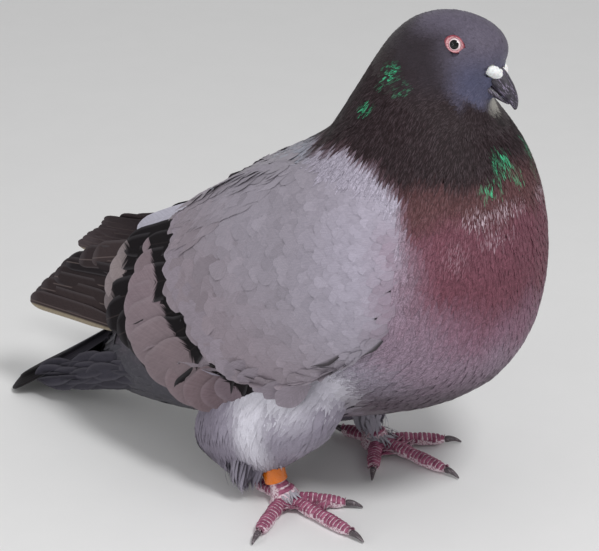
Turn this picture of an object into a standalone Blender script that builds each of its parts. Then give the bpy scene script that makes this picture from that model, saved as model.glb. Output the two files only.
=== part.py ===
"""A heavy utility pigeon, blue bar, as a still life-size model.

The bird faces +X, its left side is +Y, and it stands on the floor at z = 0 on both feet,
with the tip of the closed tail just touching. Every length here is in millimetres, measured
from the point of the floor between the feet. The meshes are made in metres, and build() moves
them together at the end, so that the frame's origin is under the middle of the whole bird.
"""
import math

import bmesh
import bpy
from mathutils import Matrix, Vector

MM = 0.001
GAP = 0.3                   # clearance between neighbouring pieces
BODY_RING = 12              # points round a section of the body, before it is smoothed
CAGE_ALLOWANCE = 1.01       # makes up for what smoothing takes off the body's cage
WING_RING = 8
THIGH_RING = 12
TAIL_RING = 12
CUT_TOLERANCE = 1e-7        # in metres

# Driving dimensions
ORIGIN = (-52.2, -8.8)      # x, y of the middle of the whole bird
RIGHT_FOOT = (-2.0, -44.0)
LEFT_FOOT = (6.0, 42.0)
SHANK_RADIUS = 4.4
HUB_RADIUS = 10.0           # the pad under the shank that the toes leave
BAND_INNER_RADIUS = 5.6
BAND_WALL = 1.1
BAND_HEIGHT = 9.5
BAND_PLACE = (-7.7, 17.5)   # how far ahead of the foot's middle it is, and how high
BAND_LEAN = -20.0           # degrees about Y, with the shank
EYE_CENTRE = (82.7, 12.8, 281.2)    # the left eye; the right one is its mirror image
EYE_RADIUS = 4.2
EYE_SHAPE = (0.92, 0.92, 0.8)       # how much of that radius across, and along its look
EYE_DIRECTION = (0.14, 0.96, 0.20)
LID_RADIUS = 4.2            # inside of the bare ring of skin round the eye
LID_PROFILE = [(-0.15, 0.6), (1.3, 0.6), (1.2, 2.2), (-0.15, 2.5)]  # outwards, along the look
SOCKET_RADIUS = LID_RADIUS + 1.3 + GAP
SOCKET_DEPTH = 16.0
CERE_CENTRE = (98.6, 0.0, 268.2)
CERE_HALF_SIZE = (5.2, 7.4, 4.2)
CERE_SLOPE = 38.0           # degrees about Y
CERE_WAIST = 0.72           # how much of its size is left in the middle, between the swellings
# The closed bill in side view, base to tip, as x, z: its ridge, the line between its two
# halves, and the lower edge, with the half widths at those points.
CULMEN = [(99.0, 272.5), (104.0, 268.6), (108.2, 263.8), (111.2, 258.6), (112.9, 253.6), (112.4, 249.0)]
GAPE = [(91.0, 263.6), (95.8, 260.4), (100.4, 257.3), (104.7, 254.4), (108.6, 251.6), (111.4, 248.4)]
CHIN = [(89.0, 258.2), (94.2, 255.4), (99.2, 253.1), (103.6, 251.3), (107.6, 250.4)]
UPPER_BILL_WIDTHS = [5.2, 4.9, 4.3, 3.5, 2.3, 0.8]
LOWER_BILL_WIDTHS = [4.8, 4.4, 3.7, 2.8, 1.6]
OVER_WING = 14.0            # nothing of the body is left this far outside a wing
OVER_WING_FROM = 0.4        # and from this share of the wing's thickness outwards
LEFT_WING_LIFT = 20.0       # the left wing's tip is held this much higher
LIFTED_BEHIND = (-80.0, -205.0)     # and it rises to that between these two x

# The body's sections, from the root of the tail to the forehead. Each one lies in the plane
# through its upper (dorsal) and lower (ventral) point, given as x, z in the plane of symmetry.
#   name            dorsal          ventral        half width
BODY = [
    ("tail_root", (-152.0, 57.0), (-161.0, 19.0), 20.0),
    ("vent", (-126.0, 84.0), (-126.0, 15.0), 32.0),
    ("rump", (-101.0, 117.0), (-90.0, 18.0), 46.0),
    ("hind_back", (-79.0, 152.0), (-52.0, 24.0), 58.0),
    ("mid_back", (-54.0, 180.0), (-10.0, 34.0), 66.0),
    ("fore_back", (-34.0, 196.0), (34.0, 49.0), 70.0),
    ("mantle", (-17.0, 207.0), (75.0, 64.0), 72.0),
    ("keel", (-3.0, 217.0), (109.0, 86.0), 73.0),
    ("low_breast", (6.0, 226.0), (126.0, 118.0), 69.0),
    ("breast", (11.0, 235.0), (131.0, 157.0), 60.0),
    ("crop", (17.0, 245.0), (127.5, 195.0), 49.0),
    ("neck", (24.0, 257.0), (116.5, 223.0), 36.0),
    ("nape", (32.5, 271.5), (101.0, 236.0), 26.5),
    ("jaw", (43.5, 285.5), (96.5, 244.0), 20.5),
    ("cheek", (60.5, 294.8), (96.5, 249.5), 18.5),
    ("eye", (79.0, 296.5), (96.0, 255.0), 17.2),
    ("brow", (93.0, 293.0), (97.0, 261.0), 14.8),
    ("forehead", (101.0, 287.0), (100.5, 267.0), 11.0),
    ("front", (104.3, 281.5), (103.8, 272.5), 5.5),
]

# Where the body is parted, as pairs of x, z points in the plane of symmetry.
HEAD_FROM_NECK = ((29.0, 265.0), (110.0, 231.0))
NECK_FROM_BREAST = ((4.0, 217.0), (125.0, 172.0))
BREAST_FROM_TRUNK = ((-14.0, 199.0), (62.0, 60.0))

# The folded right wing, front to back: x, then y, z of the upper and of the lower edge,
# then how far its outer face bulges from the line between them, and its thickness.
WING = [
    (79.0, (-54.0, 192.0), (-63.0, 148.0), 4.5, 6.0),
    (70.0, (-50.0, 208.0), (-66.0, 122.0), 12.0, 9.0),
    (48.0, (-46.0, 217.0), (-67.0, 99.0), 16.0, 10.0),
    (20.0, (-33.0, 215.0), (-69.0, 84.0), 20.0, 11.0),
    (-16.0, (-18.0, 204.0), (-68.0, 75.0), 25.0, 12.0),
    (-58.0, (-10.0, 182.0), (-62.0, 70.0), 22.0, 11.0),
    (-98.0, (-12.0, 149.0), (-53.0, 69.0), 13.0, 9.0),
    (-136.0, (-16.0, 123.0), (-46.0, 66.0), 7.0, 7.0),
    (-170.0, (-17.0, 109.0), (-37.0, 62.0), 4.0, 5.5),
    (-194.0, (-19.0, 92.0), (-30.0, 62.0), 2.5, 4.5),
    (-204.0, (-23.0, 77.0), (-27.0, 64.0), 1.5, 3.0),
]
FLIGHT_FROM_WING = ((-88.0, 220.0), (-108.0, 40.0))

# The closed tail, root to tip: x, z of its ridge, half width, how far the sides drop, thickness.
TAIL = [
    (-126.0, 77.0, 14.0, 3.0, 16.0),
    (-150.0, 58.5, 18.0, 5.0, 13.0),
    (-178.0, 36.5, 22.0, 7.0, 9.0),
    (-204.0, 14.4, 24.0, 6.6, 6.0),
    (-220.0, 4.6, 25.0, 3.0, 4.0),
    (-229.0, 2.4, 21.0, 1.0, 3.2),
    (-232.0, 2.0, 14.0, 0.4, 2.6),
]

# The feathered right thigh, from under the wing down to the band: z, then x, y of its middle,
# then its half length and half width. Each section slopes up to the front by THIGH_SLOPE.
THIGH_SLOPE = 0.25
THIGH = [
    (98.0, 4.0, -47.0, 34.0, 14.0),
    (80.0, -3.0, -48.0, 42.0, 20.0),
    (58.0, -10.0, -49.0, 48.0, 23.0),
    (40.0, -16.0, -46.5, 45.0, 21.0),
    (27.0, -21.0, -44.0, 33.0, 16.5),
    (17.0, -24.0, -43.0, 20.0, 12.0),
    (12.0, -26.0, -43.0, 12.0, 8.5),
]

# The scaly shank, top to bottom: how far ahead of the foot's middle, z, radius.
SHANK = [
    (-15.0, 38.0, SHANK_RADIUS * 0.8),
    (-12.5, 31.0, SHANK_RADIUS),
    (-8.0, 19.0, SHANK_RADIUS),
    (-5.0, 11.0, SHANK_RADIUS + 0.6),
    (-2.0, 7.0, SHANK_RADIUS + 3.2),
    (0.0, 4.0, HUB_RADIUS - 0.8),
    (0.0, 1.0, HUB_RADIUS),
    (0.0, -1.5, HUB_RADIUS - 2.0),
]

# Toes: name, direction on the floor in degrees for the right and the left foot, length
# without the claw.
TOES = [
    ("inner", 24.0, -62.0, 34.0),
    ("middle", -13.0, -9.0, 52.0),
    ("outer", -78.0, 35.0, 40.0),
    ("hind", 165.0, 178.0, 24.0),
]
TOE_RADIUS = 4.5
# A toe's joints: share of the way out, radius in TOE_RADIUS, height of its middle.
TOE_JOINTS = [
    (0.0, 0.80, 4.4),
    (0.30, 1.06, 3.9),
    (0.46, 0.92, 3.8),
    (0.62, 1.02, 3.6),
    (0.88, 0.88, 3.2),
    (1.0, 0.52, 3.2),
]
TOE_FLAT = 0.92             # how high a toe is for its width
CLAW_LENGTH = 10.0
CLAW_RADIUS = 2.4
CLAW_ARCH = 0.9
CLAW_DROP = 1.9


def clear_scene():
    for obj in list(bpy.data.objects):
        bpy.data.objects.remove(obj)


def material(name, colour, roughness):
    made = bpy.data.materials.new(name)
    made.use_nodes = True
    shader = made.node_tree.nodes["Principled BSDF"]
    shader.inputs["Base Color"].default_value = (*colour, 1.0)
    shader.inputs["Roughness"].default_value = roughness
    return made


def to_mesh(name, bm):
    """Ends a bmesh in millimetres as a mesh in metres, with its faces pointing out."""
    bmesh.ops.remove_doubles(bm, verts=bm.verts, dist=0.001)
    bmesh.ops.recalc_face_normals(bm, faces=bm.faces)
    bmesh.ops.scale(bm, vec=(MM, MM, MM), verts=bm.verts)
    mesh = bpy.data.meshes.new(name)
    bm.to_mesh(mesh)
    bm.free()
    return mesh


def loft(name, rings):
    """A closed skin over rings of equal length, which differ in shape from one to the next."""
    bm = bmesh.new()
    layers = [[bm.verts.new(point) for point in ring] for ring in rings]
    count = len(rings[0])
    for lower, upper in zip(layers, layers[1:]):
        for i in range(count):
            j = (i + 1) % count
            bm.faces.new((lower[i], lower[j], upper[j], upper[i]))
    for layer in (layers[0], layers[-1]):
        bmesh.ops.poke(bm, faces=[bm.faces.new(layer)])
    return to_mesh(name, bm)


def smoothed(mesh, levels=1):
    """The mesh as Subdivision Surface leaves it."""
    obj = bpy.data.objects.new("cage", mesh)
    bpy.context.scene.collection.objects.link(obj)
    subdivision = obj.modifiers.new("smooth", "SUBSURF")
    subdivision.levels = levels
    subdivision.render_levels = levels
    graph = bpy.context.evaluated_depsgraph_get()
    fine = bpy.data.meshes.new_from_object(obj.evaluated_get(graph))
    bpy.data.objects.remove(obj)
    return triangulated(fine)


def triangulated(mesh):
    """Splits the faces in place, so that a piece and the cutter grown from it bend alike."""
    bm = bmesh.new()
    bm.from_mesh(mesh)
    bmesh.ops.triangulate(bm, faces=bm.faces)
    bm.to_mesh(mesh)
    bm.free()
    return mesh


def grown(mesh, distance=GAP):
    """A copy that stands off the mesh all round, to cut room for it with clearance."""
    bm = bmesh.new()
    bm.from_mesh(mesh)
    bm.normal_update()
    shifts = [(vert, vert.normal * distance * MM) for vert in bm.verts]
    for vert, shift in shifts:
        vert.co += shift
    larger = bpy.data.meshes.new("grown_" + mesh.name)
    bm.to_mesh(larger)
    bm.free()
    return larger


def trimmed(mesh, planes):
    """A copy cut by planes, each a point in mm and the direction to remove, with flat ends."""
    bm = bmesh.new()
    bm.from_mesh(mesh)
    for point, outwards in planes:
        geometry = bm.verts[:] + bm.edges[:] + bm.faces[:]
        bmesh.ops.bisect_plane(
            bm,
            geom=geometry,
            dist=CUT_TOLERANCE,
            plane_co=Vector(point) * MM,
            plane_no=outwards,
            clear_outer=True,
        )
        edges = [edge for edge in bm.edges if edge.is_boundary]
        bmesh.ops.holes_fill(bm, edges=edges, sides=0)
    bmesh.ops.recalc_face_normals(bm, faces=bm.faces)
    cut = bpy.data.meshes.new(mesh.name)
    bm.to_mesh(cut)
    bm.free()
    return cut


def parting(line, keep_front):
    """One side of a parting cut, half the gap away from it, as trimmed() takes it."""
    (x0, z0), (x1, z1) = line
    along = Vector((x1 - x0, 0.0, z1 - z0)).normalized()
    to_front = Vector((-along.z, 0.0, along.x))
    outwards = -to_front if keep_front else to_front
    return Vector((x0, 0.0, z0)) - outwards * GAP / 2, outwards


FLOOR = ((0.0, 0.0, 0.0), Vector((0.0, 0.0, -1.0)))


def body_rings():
    rings = []
    for _, dorsal, ventral, half_width in BODY:
        top = Vector((dorsal[0], 0.0, dorsal[1]))
        bottom = Vector((ventral[0], 0.0, ventral[1]))
        ring = []
        for i in range(BODY_RING):
            turn = 2 * math.pi * i / BODY_RING
            across = Vector((0.0, half_width * math.sin(turn), 0.0))
            offset = (top - bottom) / 2 * math.cos(turn) + across
            ring.append((top + bottom) / 2 + offset * CAGE_ALLOWANCE)
        rings.append(ring)
    return rings


def wing_rings(side, outer_room=0.0, inner_share=1.0):
    """side is -1 for the right wing and 1 for the left. The two others make a cutter of it,
    which reaches further out and starts within the wing's thickness."""
    front, back = LIFTED_BEHIND
    rings = []
    for x, top, bottom, bulge, thickness in WING:
        share_back = max(0.0, (front - x) / (front - back))
        lift = LEFT_WING_LIFT * share_back ** 2 if side > 0 else 0.0
        upper = Vector((x, -side * top[0], top[1] + lift))
        lower = Vector((x, -side * bottom[0], bottom[1] + lift))
        reach = (upper - lower) / 2
        outwards = Vector((0.0, side * reach.z, -side * reach.y)).normalized()
        ring = []
        for i in range(WING_RING):
            turn = 2 * math.pi * (i + 0.5) / WING_RING
            depth = bulge + outer_room if math.sin(turn) > 0 else thickness * inner_share - bulge
            swell = math.copysign(abs(math.sin(turn)) ** 0.75, math.sin(turn))
            ring.append((upper + lower) / 2 + reach * math.cos(turn) + outwards * swell * depth)
        rings.append(ring)
    return rings


def tail_rings():
    rings = []
    for x, z, half_width, drop, thickness in TAIL:
        ring = []
        for i in range(TAIL_RING):
            turn = 2 * math.pi * i / TAIL_RING
            arch = drop * math.sin(turn) ** 2
            height = z - arch + thickness / 2 * (math.cos(turn) - 1)
            ring.append(Vector((x, half_width * math.sin(turn), height)))
        rings.append(ring)
    return rings


def thigh_rings(side):
    shift = LEFT_FOOT[0] - RIGHT_FOOT[0] if side > 0 else 0.0
    rings = []
    for z, x, y, half_length, half_width in THIGH:
        ring = []
        for i in range(THIGH_RING):
            turn = 2 * math.pi * i / THIGH_RING
            ring.append(Vector((
                x + shift + half_length * math.cos(turn),
                -side * y + half_width * math.sin(turn),
                z + half_length * THIGH_SLOPE * math.cos(turn),
            )))
        rings.append(ring)
    return rings


def tube(name, stations, count, flat=1.0):
    """A limb through stations of point and radius; flat squashes it from above."""
    rings = []
    for k, (point, radius) in enumerate(stations):
        before = stations[max(k - 1, 0)][0]
        after = stations[min(k + 1, len(stations) - 1)][0]
        along = (Vector(after) - Vector(before)).normalized()
        upright = abs(along.z) > 0.7
        side = Vector((0.0, 1.0, 0.0)) if upright else along.cross(Vector((0.0, 0.0, 1.0)))
        side.normalize()
        over = side.cross(along)
        rings.append([
            Vector(point)
            + side * radius * math.cos(2 * math.pi * (i + 0.5) / count)
            + over * radius * flat * math.sin(2 * math.pi * (i + 0.5) / count)
            for i in range(count)
        ])
    return loft(name, rings)


def shank_mesh(foot):
    """The scaly shank, from inside the thigh's feathers down to the pad that the toes leave."""
    x, y = foot
    stations = [((x + ahead, y, z), radius) for ahead, z, radius in SHANK]
    return trimmed(tube("shank", stations, count=10), [FLOOR])


def toe_stations(foot, direction, length):
    """Swollen joints on the way out, and a rounded end that the claw leaves."""
    angle = math.radians(direction)
    heading = Vector((math.cos(angle), math.sin(angle), 0.0))
    hub = Vector((foot[0], foot[1], 0.0))
    start = HUB_RADIUS - 3.0
    stations = []
    for share, radius, height in TOE_JOINTS:
        place = hub + heading * (start + (length - start) * share)
        place.z = height
        stations.append((place, TOE_RADIUS * radius))
    return stations, heading


def claw_mesh(tip, heading):
    """A blunt claw that leaves the toe's end and bends down to the floor."""
    stations = []
    for share in (0.0, 0.35, 0.7, 1.0):
        place = tip + heading * (GAP + CLAW_LENGTH * share)
        place.z += CLAW_ARCH * math.sin(math.pi * share) - CLAW_DROP * share * share
        stations.append((place, CLAW_RADIUS * (1 - 0.83 * share ** 1.3)))
    return tube("claw", stations, count=5)


def turned_ring(name, centre_radius, profile, steps, pose):
    """A ring turned from a closed profile of radius and height round centre_radius."""
    bm = bmesh.new()
    verts = [bm.verts.new((centre_radius + r, 0.0, z)) for r, z in profile]
    edges = [bm.edges.new((verts[i], verts[(i + 1) % len(verts)])) for i in range(len(verts))]
    bmesh.ops.spin(
        bm,
        geom=verts + edges,
        axis=(0.0, 0.0, 1.0),
        cent=(0.0, 0.0, 0.0),
        steps=steps,
        angle=2 * math.pi,
        use_merge=True,
    )
    bmesh.ops.transform(bm, matrix=pose, verts=bm.verts)
    return to_mesh(name, bm)


def band_pose(foot):
    """Where the band sits: round the shank, leaning with it."""
    ahead, height = BAND_PLACE
    lean = Matrix.Rotation(math.radians(BAND_LEAN), 4, "Y")
    return Matrix.Translation((foot[0] + ahead, foot[1], height)) @ lean


def band_mesh(foot):
    half = BAND_HEIGHT / 2
    profile = [(0.0, -half), (BAND_WALL, -half), (BAND_WALL, half), (0.0, half)]
    return turned_ring("band", BAND_INNER_RADIUS, profile, 20, band_pose(foot))


def drum(name, radius, depth, pose):
    bm = bmesh.new()
    bmesh.ops.create_cone(
        bm,
        cap_ends=True,
        segments=16,
        radius1=radius,
        radius2=radius,
        depth=depth,
    )
    bmesh.ops.transform(bm, matrix=pose, verts=bm.verts)
    return to_mesh(name, bm)


def mandible(name, upper_edge, lower_edge, half_widths, count=10):
    """Half of the bill, as oval rings hung between its upper and its lower edge in side view."""
    rings = []
    for (x0, z0), (x1, z1), half_width in zip(upper_edge, lower_edge, half_widths):
        top, bottom = Vector((x0, 0.0, z0)), Vector((x1, 0.0, z1))
        rings.append([
            (top + bottom) / 2
            + (top - bottom) / 2 * math.cos(2 * math.pi * i / count)
            + Vector((0.0, half_width * math.sin(2 * math.pi * i / count), 0.0))
            for i in range(count)
        ])
    return loft(name, rings)


def cere_mesh():
    """The two white swellings over the nostrils, which meet across the bill."""
    bm = bmesh.new()
    bmesh.ops.create_uvsphere(bm, u_segments=12, v_segments=8, radius=1.0)
    for vert in bm.verts:
        waist = CERE_WAIST + (1 - CERE_WAIST) * min(1.0, abs(vert.co.y) / 0.45)
        vert.co = vert.co * Vector(CERE_HALF_SIZE) * Vector((waist, 1.0, waist))
    turn = Matrix.Rotation(math.radians(CERE_SLOPE), 4, "Y")
    bmesh.ops.transform(bm, matrix=Matrix.Translation(CERE_CENTRE) @ turn, verts=bm.verts)
    return to_mesh("cere", bm)


def eye_pose(side):
    """An eye's place, with the eye looking along its own +Z."""
    direction = Vector((EYE_DIRECTION[0], side * EYE_DIRECTION[1], EYE_DIRECTION[2]))
    turn = direction.to_track_quat("Z", "Y").to_matrix().to_4x4()
    return Matrix.Translation((EYE_CENTRE[0], side * EYE_CENTRE[1], EYE_CENTRE[2])) @ turn


def eyeball_mesh(side):
    bm = bmesh.new()
    bmesh.ops.create_uvsphere(bm, u_segments=12, v_segments=6, radius=EYE_RADIUS)
    bmesh.ops.scale(bm, vec=EYE_SHAPE, verts=bm.verts)
    bmesh.ops.transform(bm, matrix=eye_pose(side), verts=bm.verts)
    return to_mesh("eyeball", bm)


def lid_mesh(side):
    """The ring of bare skin that the eye looks out of."""
    return turned_ring("lid", LID_RADIUS, LID_PROFILE, 16, eye_pose(side))


def socket_mesh(side):
    """What is taken out of the head to hold an eye and its lids."""
    behind_eye = EYE_SHAPE[2] * EYE_RADIUS + GAP
    middle = Matrix.Translation((0.0, 0.0, SOCKET_DEPTH / 2 - behind_eye))
    return drum("socket", SOCKET_RADIUS, SOCKET_DEPTH, eye_pose(side) @ middle)


class Bench:
    """The two collections: the bird's pieces, and the cutters that shape them."""

    def __init__(self):
        self.pieces = bpy.data.collections.new("pigeon")
        self.cutters = bpy.data.collections.new("cutters")
        for collection in (self.pieces, self.cutters):
            bpy.context.scene.collection.children.link(collection)

    def piece(self, name, mesh, finish):
        obj = bpy.data.objects.new(name, triangulated(mesh))
        self.pieces.objects.link(obj)
        mesh.materials.clear()
        mesh.materials.append(finish)
        mesh.shade_smooth()
        return obj

    def cutter(self, name, mesh):
        obj = bpy.data.objects.new("cut_" + name, mesh)
        self.cutters.objects.link(obj)
        obj.hide_render = True
        obj.display_type = "WIRE"
        return obj

    @staticmethod
    def cut(obj, *cutters):
        for cutter in cutters:
            boolean = obj.modifiers.new(cutter.name, "BOOLEAN")
            boolean.solver = "EXACT"
            boolean.object = cutter

    def centre(self):
        """Moves the whole bird, with its cutters, so that ORIGIN is at the frame's origin."""
        shift = Matrix.Translation(Vector((-ORIGIN[0], -ORIGIN[1], 0.0)) * MM)
        for obj in (*self.pieces.objects, *self.cutters.objects):
            obj.data.transform(shift)


def build_body(bench, finishes):
    """Head, neck, breast and trunk, parted from one smooth form, and the closed tail."""
    whole = smoothed(loft("body", body_rings()))
    planes = {
        "head": [parting(HEAD_FROM_NECK, True)],
        "neck": [parting(HEAD_FROM_NECK, False), parting(NECK_FROM_BREAST, True)],
        "breast": [parting(NECK_FROM_BREAST, False), parting(BREAST_FROM_TRUNK, True)],
        "trunk": [parting(BREAST_FROM_TRUNK, False)],
    }
    head = bench.piece("head", trimmed(whole, planes["head"]), finishes["slate"])
    neck = bench.piece("neck", trimmed(whole, planes["neck"]), finishes["neck"])
    breast = bench.piece("breast", trimmed(whole, planes["breast"]), finishes["breast"])
    trunk = bench.piece("trunk", trimmed(whole, planes["trunk"]), finishes["grey"])
    build_face(bench, head, finishes)
    tail = bench.piece("tail", trimmed(loft("tail", tail_rings()), [FLOOR]), finishes["flight"])
    bench.cut(trunk, bench.cutter("tail", grown(tail.data)))
    return neck, breast, trunk


def build_wing(bench, side, word, finishes):
    """A folded wing: its coverts and its flight feathers. Returns the cutters for its room."""
    folded = smoothed(loft("wing", wing_rings(side)))
    outside = smoothed(loft("over_wing", wing_rings(side, OVER_WING, OVER_WING_FROM)))
    rooms = (
        bench.cutter("wing_" + word, grown(folded)),
        bench.cutter("over_wing_" + word, outside),
    )
    coverts = trimmed(folded, [parting(FLIGHT_FROM_WING, True)])
    quills = trimmed(folded, [parting(FLIGHT_FROM_WING, False)])
    bench.piece("wing_" + word, coverts, finishes["grey"])
    bench.piece("flight_" + word, quills, finishes["flight"])
    return rooms


def build_foot(bench, side, word, finishes):
    """One foot: shank, toes and claws. Returns the cutter that makes room for the shank."""
    foot = LEFT_FOOT if side > 0 else RIGHT_FOOT
    shank = bench.piece("shank_" + word, shank_mesh(foot), finishes["scale"])
    room = bench.cutter("shank_" + word, grown(shank.data))
    toes = {}
    for name, right_way, left_way, length in TOES:
        direction = left_way if side > 0 else right_way
        stations, heading = toe_stations(foot, direction, length)
        toe = trimmed(tube("toe", stations, count=6, flat=TOE_FLAT), [FLOOR])
        toes[name] = bench.piece(f"toe_{name}_{word}", toe, finishes["scale"])
        bench.cut(toes[name], room)
        claw = claw_mesh(stations[-1][0], heading)
        bench.piece(f"claw_{name}_{word}", claw, finishes["horn"])
    middle_room = bench.cutter("toe_middle_" + word, grown(toes["middle"].data))
    bench.cut(toes["inner"], middle_room)
    bench.cut(toes["outer"], middle_room)
    return room


def build_face(bench, head, finishes):
    """Bill, cere, eyes and the bare rings round them, each in its own pocket of the head."""
    upper_half = mandible("bill_upper", CULMEN, GAPE, UPPER_BILL_WIDTHS)
    gape = [(x - 0.6 * GAP, z - GAP) for x, z in GAPE[:-1]]
    lower_half = mandible("bill_lower", gape, CHIN, LOWER_BILL_WIDTHS)
    upper = bench.piece("bill_upper", upper_half, finishes["horn"])
    lower = bench.piece("bill_lower", lower_half, finishes["horn"])
    cere = bench.piece("cere", cere_mesh(), finishes["cere"])
    rooms = {obj.name: bench.cutter(obj.name, grown(obj.data)) for obj in (upper, lower, cere)}
    bench.cut(upper, rooms["cere"])
    bench.cut(head, *rooms.values())
    for side, word in ((-1, "right"), (1, "left")):
        bench.piece("eye_" + word, eyeball_mesh(side), finishes["eye"])
        bench.piece("eyelid_" + word, lid_mesh(side), finishes["lid"])
        bench.cut(head, bench.cutter("socket_" + word, socket_mesh(side)))


def build():
    clear_scene()
    bench = Bench()
    finishes = {
        "slate": material("slate", (0.11, 0.10, 0.13), 0.8),
        "neck": material("neck", (0.05, 0.03, 0.04), 0.6),
        "breast": material("breast", (0.16, 0.08, 0.10), 0.7),
        "grey": material("grey", (0.30, 0.27, 0.32), 0.8),
        "flight": material("flight", (0.03, 0.02, 0.02), 0.7),
        "horn": material("horn", (0.05, 0.045, 0.055), 0.4),
        "cere": material("cere", (0.85, 0.84, 0.80), 0.7),
        "lid": material("lid", (0.50, 0.12, 0.13), 0.5),
        "eye": material("eye", (0.75, 0.55, 0.50), 0.1),
        "scale": material("scale", (0.45, 0.14, 0.20), 0.6),
        "band": material("band", (0.90, 0.30, 0.03), 0.35),
    }
    neck, breast, trunk = build_body(bench, finishes)
    band_radius = BAND_INNER_RADIUS + BAND_WALL + GAP
    band_drum = drum("band", band_radius, BAND_HEIGHT + 2 * GAP, band_pose(RIGHT_FOOT))
    band_room = bench.cutter("band", band_drum)
    bench.piece("leg_band", band_mesh(RIGHT_FOOT), finishes["band"])
    for side, word in ((-1, "right"), (1, "left")):
        wing_rooms = build_wing(bench, side, word, finishes)
        shank_room = build_foot(bench, side, word, finishes)
        thigh = bench.piece("thigh_" + word, loft("thigh", thigh_rings(side)), finishes["grey"])
        thigh_room = bench.cutter("thigh_" + word, grown(thigh.data))
        bench.cut(thigh, *wing_rooms, shank_room)
        if side < 0:
            bench.cut(thigh, band_room)
        bench.cut(trunk, *wing_rooms, thigh_room)
        bench.cut(breast, *wing_rooms, thigh_room)
        bench.cut(neck, *wing_rooms)
    bench.centre()


build()
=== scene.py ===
"""A heavy utility pigeon, blue bar, as a life-size model: skin, plumage, bill, eyes and feet.

The bird faces +X, its left side is +Y and it stands on the floor at z = 0. Inside this file
lengths are millimetres in the bird's own measure, from the point of the floor between its
feet, and to_frame() takes them to the metres of the frame.
"""
import itertools
import math

import bmesh
import bpy
import numpy as np
from mathutils import Matrix, Vector
from mathutils.bvhtree import BVHTree


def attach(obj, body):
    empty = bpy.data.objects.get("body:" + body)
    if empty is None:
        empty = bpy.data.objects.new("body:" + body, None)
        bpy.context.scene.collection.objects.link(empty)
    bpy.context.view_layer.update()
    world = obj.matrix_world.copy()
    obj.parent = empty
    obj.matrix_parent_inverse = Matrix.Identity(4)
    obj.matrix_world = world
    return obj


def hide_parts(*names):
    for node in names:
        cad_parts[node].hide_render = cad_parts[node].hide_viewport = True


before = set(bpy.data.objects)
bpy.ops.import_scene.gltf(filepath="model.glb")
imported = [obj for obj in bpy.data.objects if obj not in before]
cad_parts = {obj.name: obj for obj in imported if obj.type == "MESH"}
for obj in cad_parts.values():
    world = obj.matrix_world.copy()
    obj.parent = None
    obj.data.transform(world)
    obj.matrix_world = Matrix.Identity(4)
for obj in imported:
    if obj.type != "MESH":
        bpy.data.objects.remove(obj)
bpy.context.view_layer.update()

bl_info = {
    "name": "Utility Pigeon",
    "version": (1, 0, 0),
    "blender": (4, 5, 0),
    "location": "View3D > Sidebar > Pigeon",
    "description": "Builds the skin, plumage and fine parts of a life-size pigeon",
    "category": "Object",
}

MM = 0.001
ORIGIN = np.array([-52.2, -8.8, 0.0])     # the frame's origin in the bird's own measure
SIDES = ((-1, "right"), (1, "left"))
FLESH = ("head", "neck", "breast", "trunk", "wing_left", "wing_right", "thigh_left", "thigh_right")
PLUGS = ("eye_left", "eye_right", "eyelid_left", "eyelid_right", "bill_upper", "bill_lower", "cere")
PATCH = 0.003               # a vane's patch on the plumage map
ROOT_DEPTH = 0.4            # how far below the body's form the small vanes are rooted
# the last of these four numbers is the painted gleam of single barbs
NO_BARS = (2.0, 3.0, 0.0, 0.0)      # where a vane's black bar starts and ends, its buff edge and gleam
# The bird's spine as x, z, from the tail's end to the bill
SPINE = [(-236, 4), (-126, 50), (-60, 98), (30, 130), (68, 190), (72, 240), (84, 276), (118, 262)]

EYE_CENTRE = (82.7, 12.8, 282.3)    # the left eye; the right one is its mirror image
EYE_LOOK = (0.14, 0.96, 0.20)
EYE_RADII = (3.86, 3.36)    # across, and along its look
LID_HOLE = 3.4              # radius of the opening in the ring of bare skin
LID_TILT = 15.0             # degrees, the rear end up
LID_PROFILE = [(3.4, 1.6), (3.5, 2.1), (3.8, 2.45), (4.3, 2.5), (4.8, 2.25), (5.3, 1.7), (5.5, 0.6)]
FEET = {"right": (-2.0, -44.0), "left": (6.0, 42.0)}
TOES = [                    # name, heading in degrees for the right and the left foot, length
    ("inner", 24.0, -62.0, 34.0),
    ("middle", -13.0, -9.0, 52.0),
    ("outer", -78.0, 35.0, 40.0),
    ("hind", 165.0, 178.0, 24.0),
]
BAND_PLACE = (-9.7, -44.0, 17.5)
BAND_LEAN = -20.0           # degrees about Y, with the shank
BAND_INNER, BAND_OUTER, BAND_HEIGHT, BAND_ROUNDING = 5.6, 6.7, 9.5, 0.35        # the first two are radii


# ---------------------------------------------------------------- measures and small helpers

def to_frame(points):
    return (np.asarray(points, dtype=float) - ORIGIN) * MM


def from_frame(points):
    return np.asarray(points, dtype=float) / MM + ORIGIN


def at(x, y, z):
    return Vector(to_frame((x, y, z)))


def linear(text):
    """A colour written as six hexadecimal digits, as linear numbers."""
    parts = [int(text[i:i + 2], 16) / 255 for i in (0, 2, 4)]
    return tuple(c / 12.92 if c <= 0.04045 else ((c + 0.055) / 1.055) ** 2.4 for c in parts)


def smoothstep(low, high, value):
    share = np.clip((value - low) / (high - low), 0.0, 1.0)
    return share * share * (3 - 2 * share)


def unit(vectors):
    return vectors / np.maximum(np.linalg.norm(vectors, axis=-1, keepdims=True), 1e-9)


def mirrored(points):
    """The same places with those on the right side moved over to the left."""
    folded = points.copy()
    folded[:, 1] = np.abs(points[:, 1])
    return folded


def waves(points, size, seed):
    """A smooth, fixed, wandering number between -1 and 1 over space, with features of that size."""
    rng = np.random.default_rng(seed)
    total = np.zeros(len(points))
    for _ in range(7):
        way = unit(rng.normal(size=3)) * rng.uniform(0.6, 1.6) * 2 * math.pi / size
        total += np.sin(points @ way + rng.uniform(0, 2 * math.pi))
    return total / 3.2


# ---------------------------------------------------------------- the form under the plumage

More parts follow.
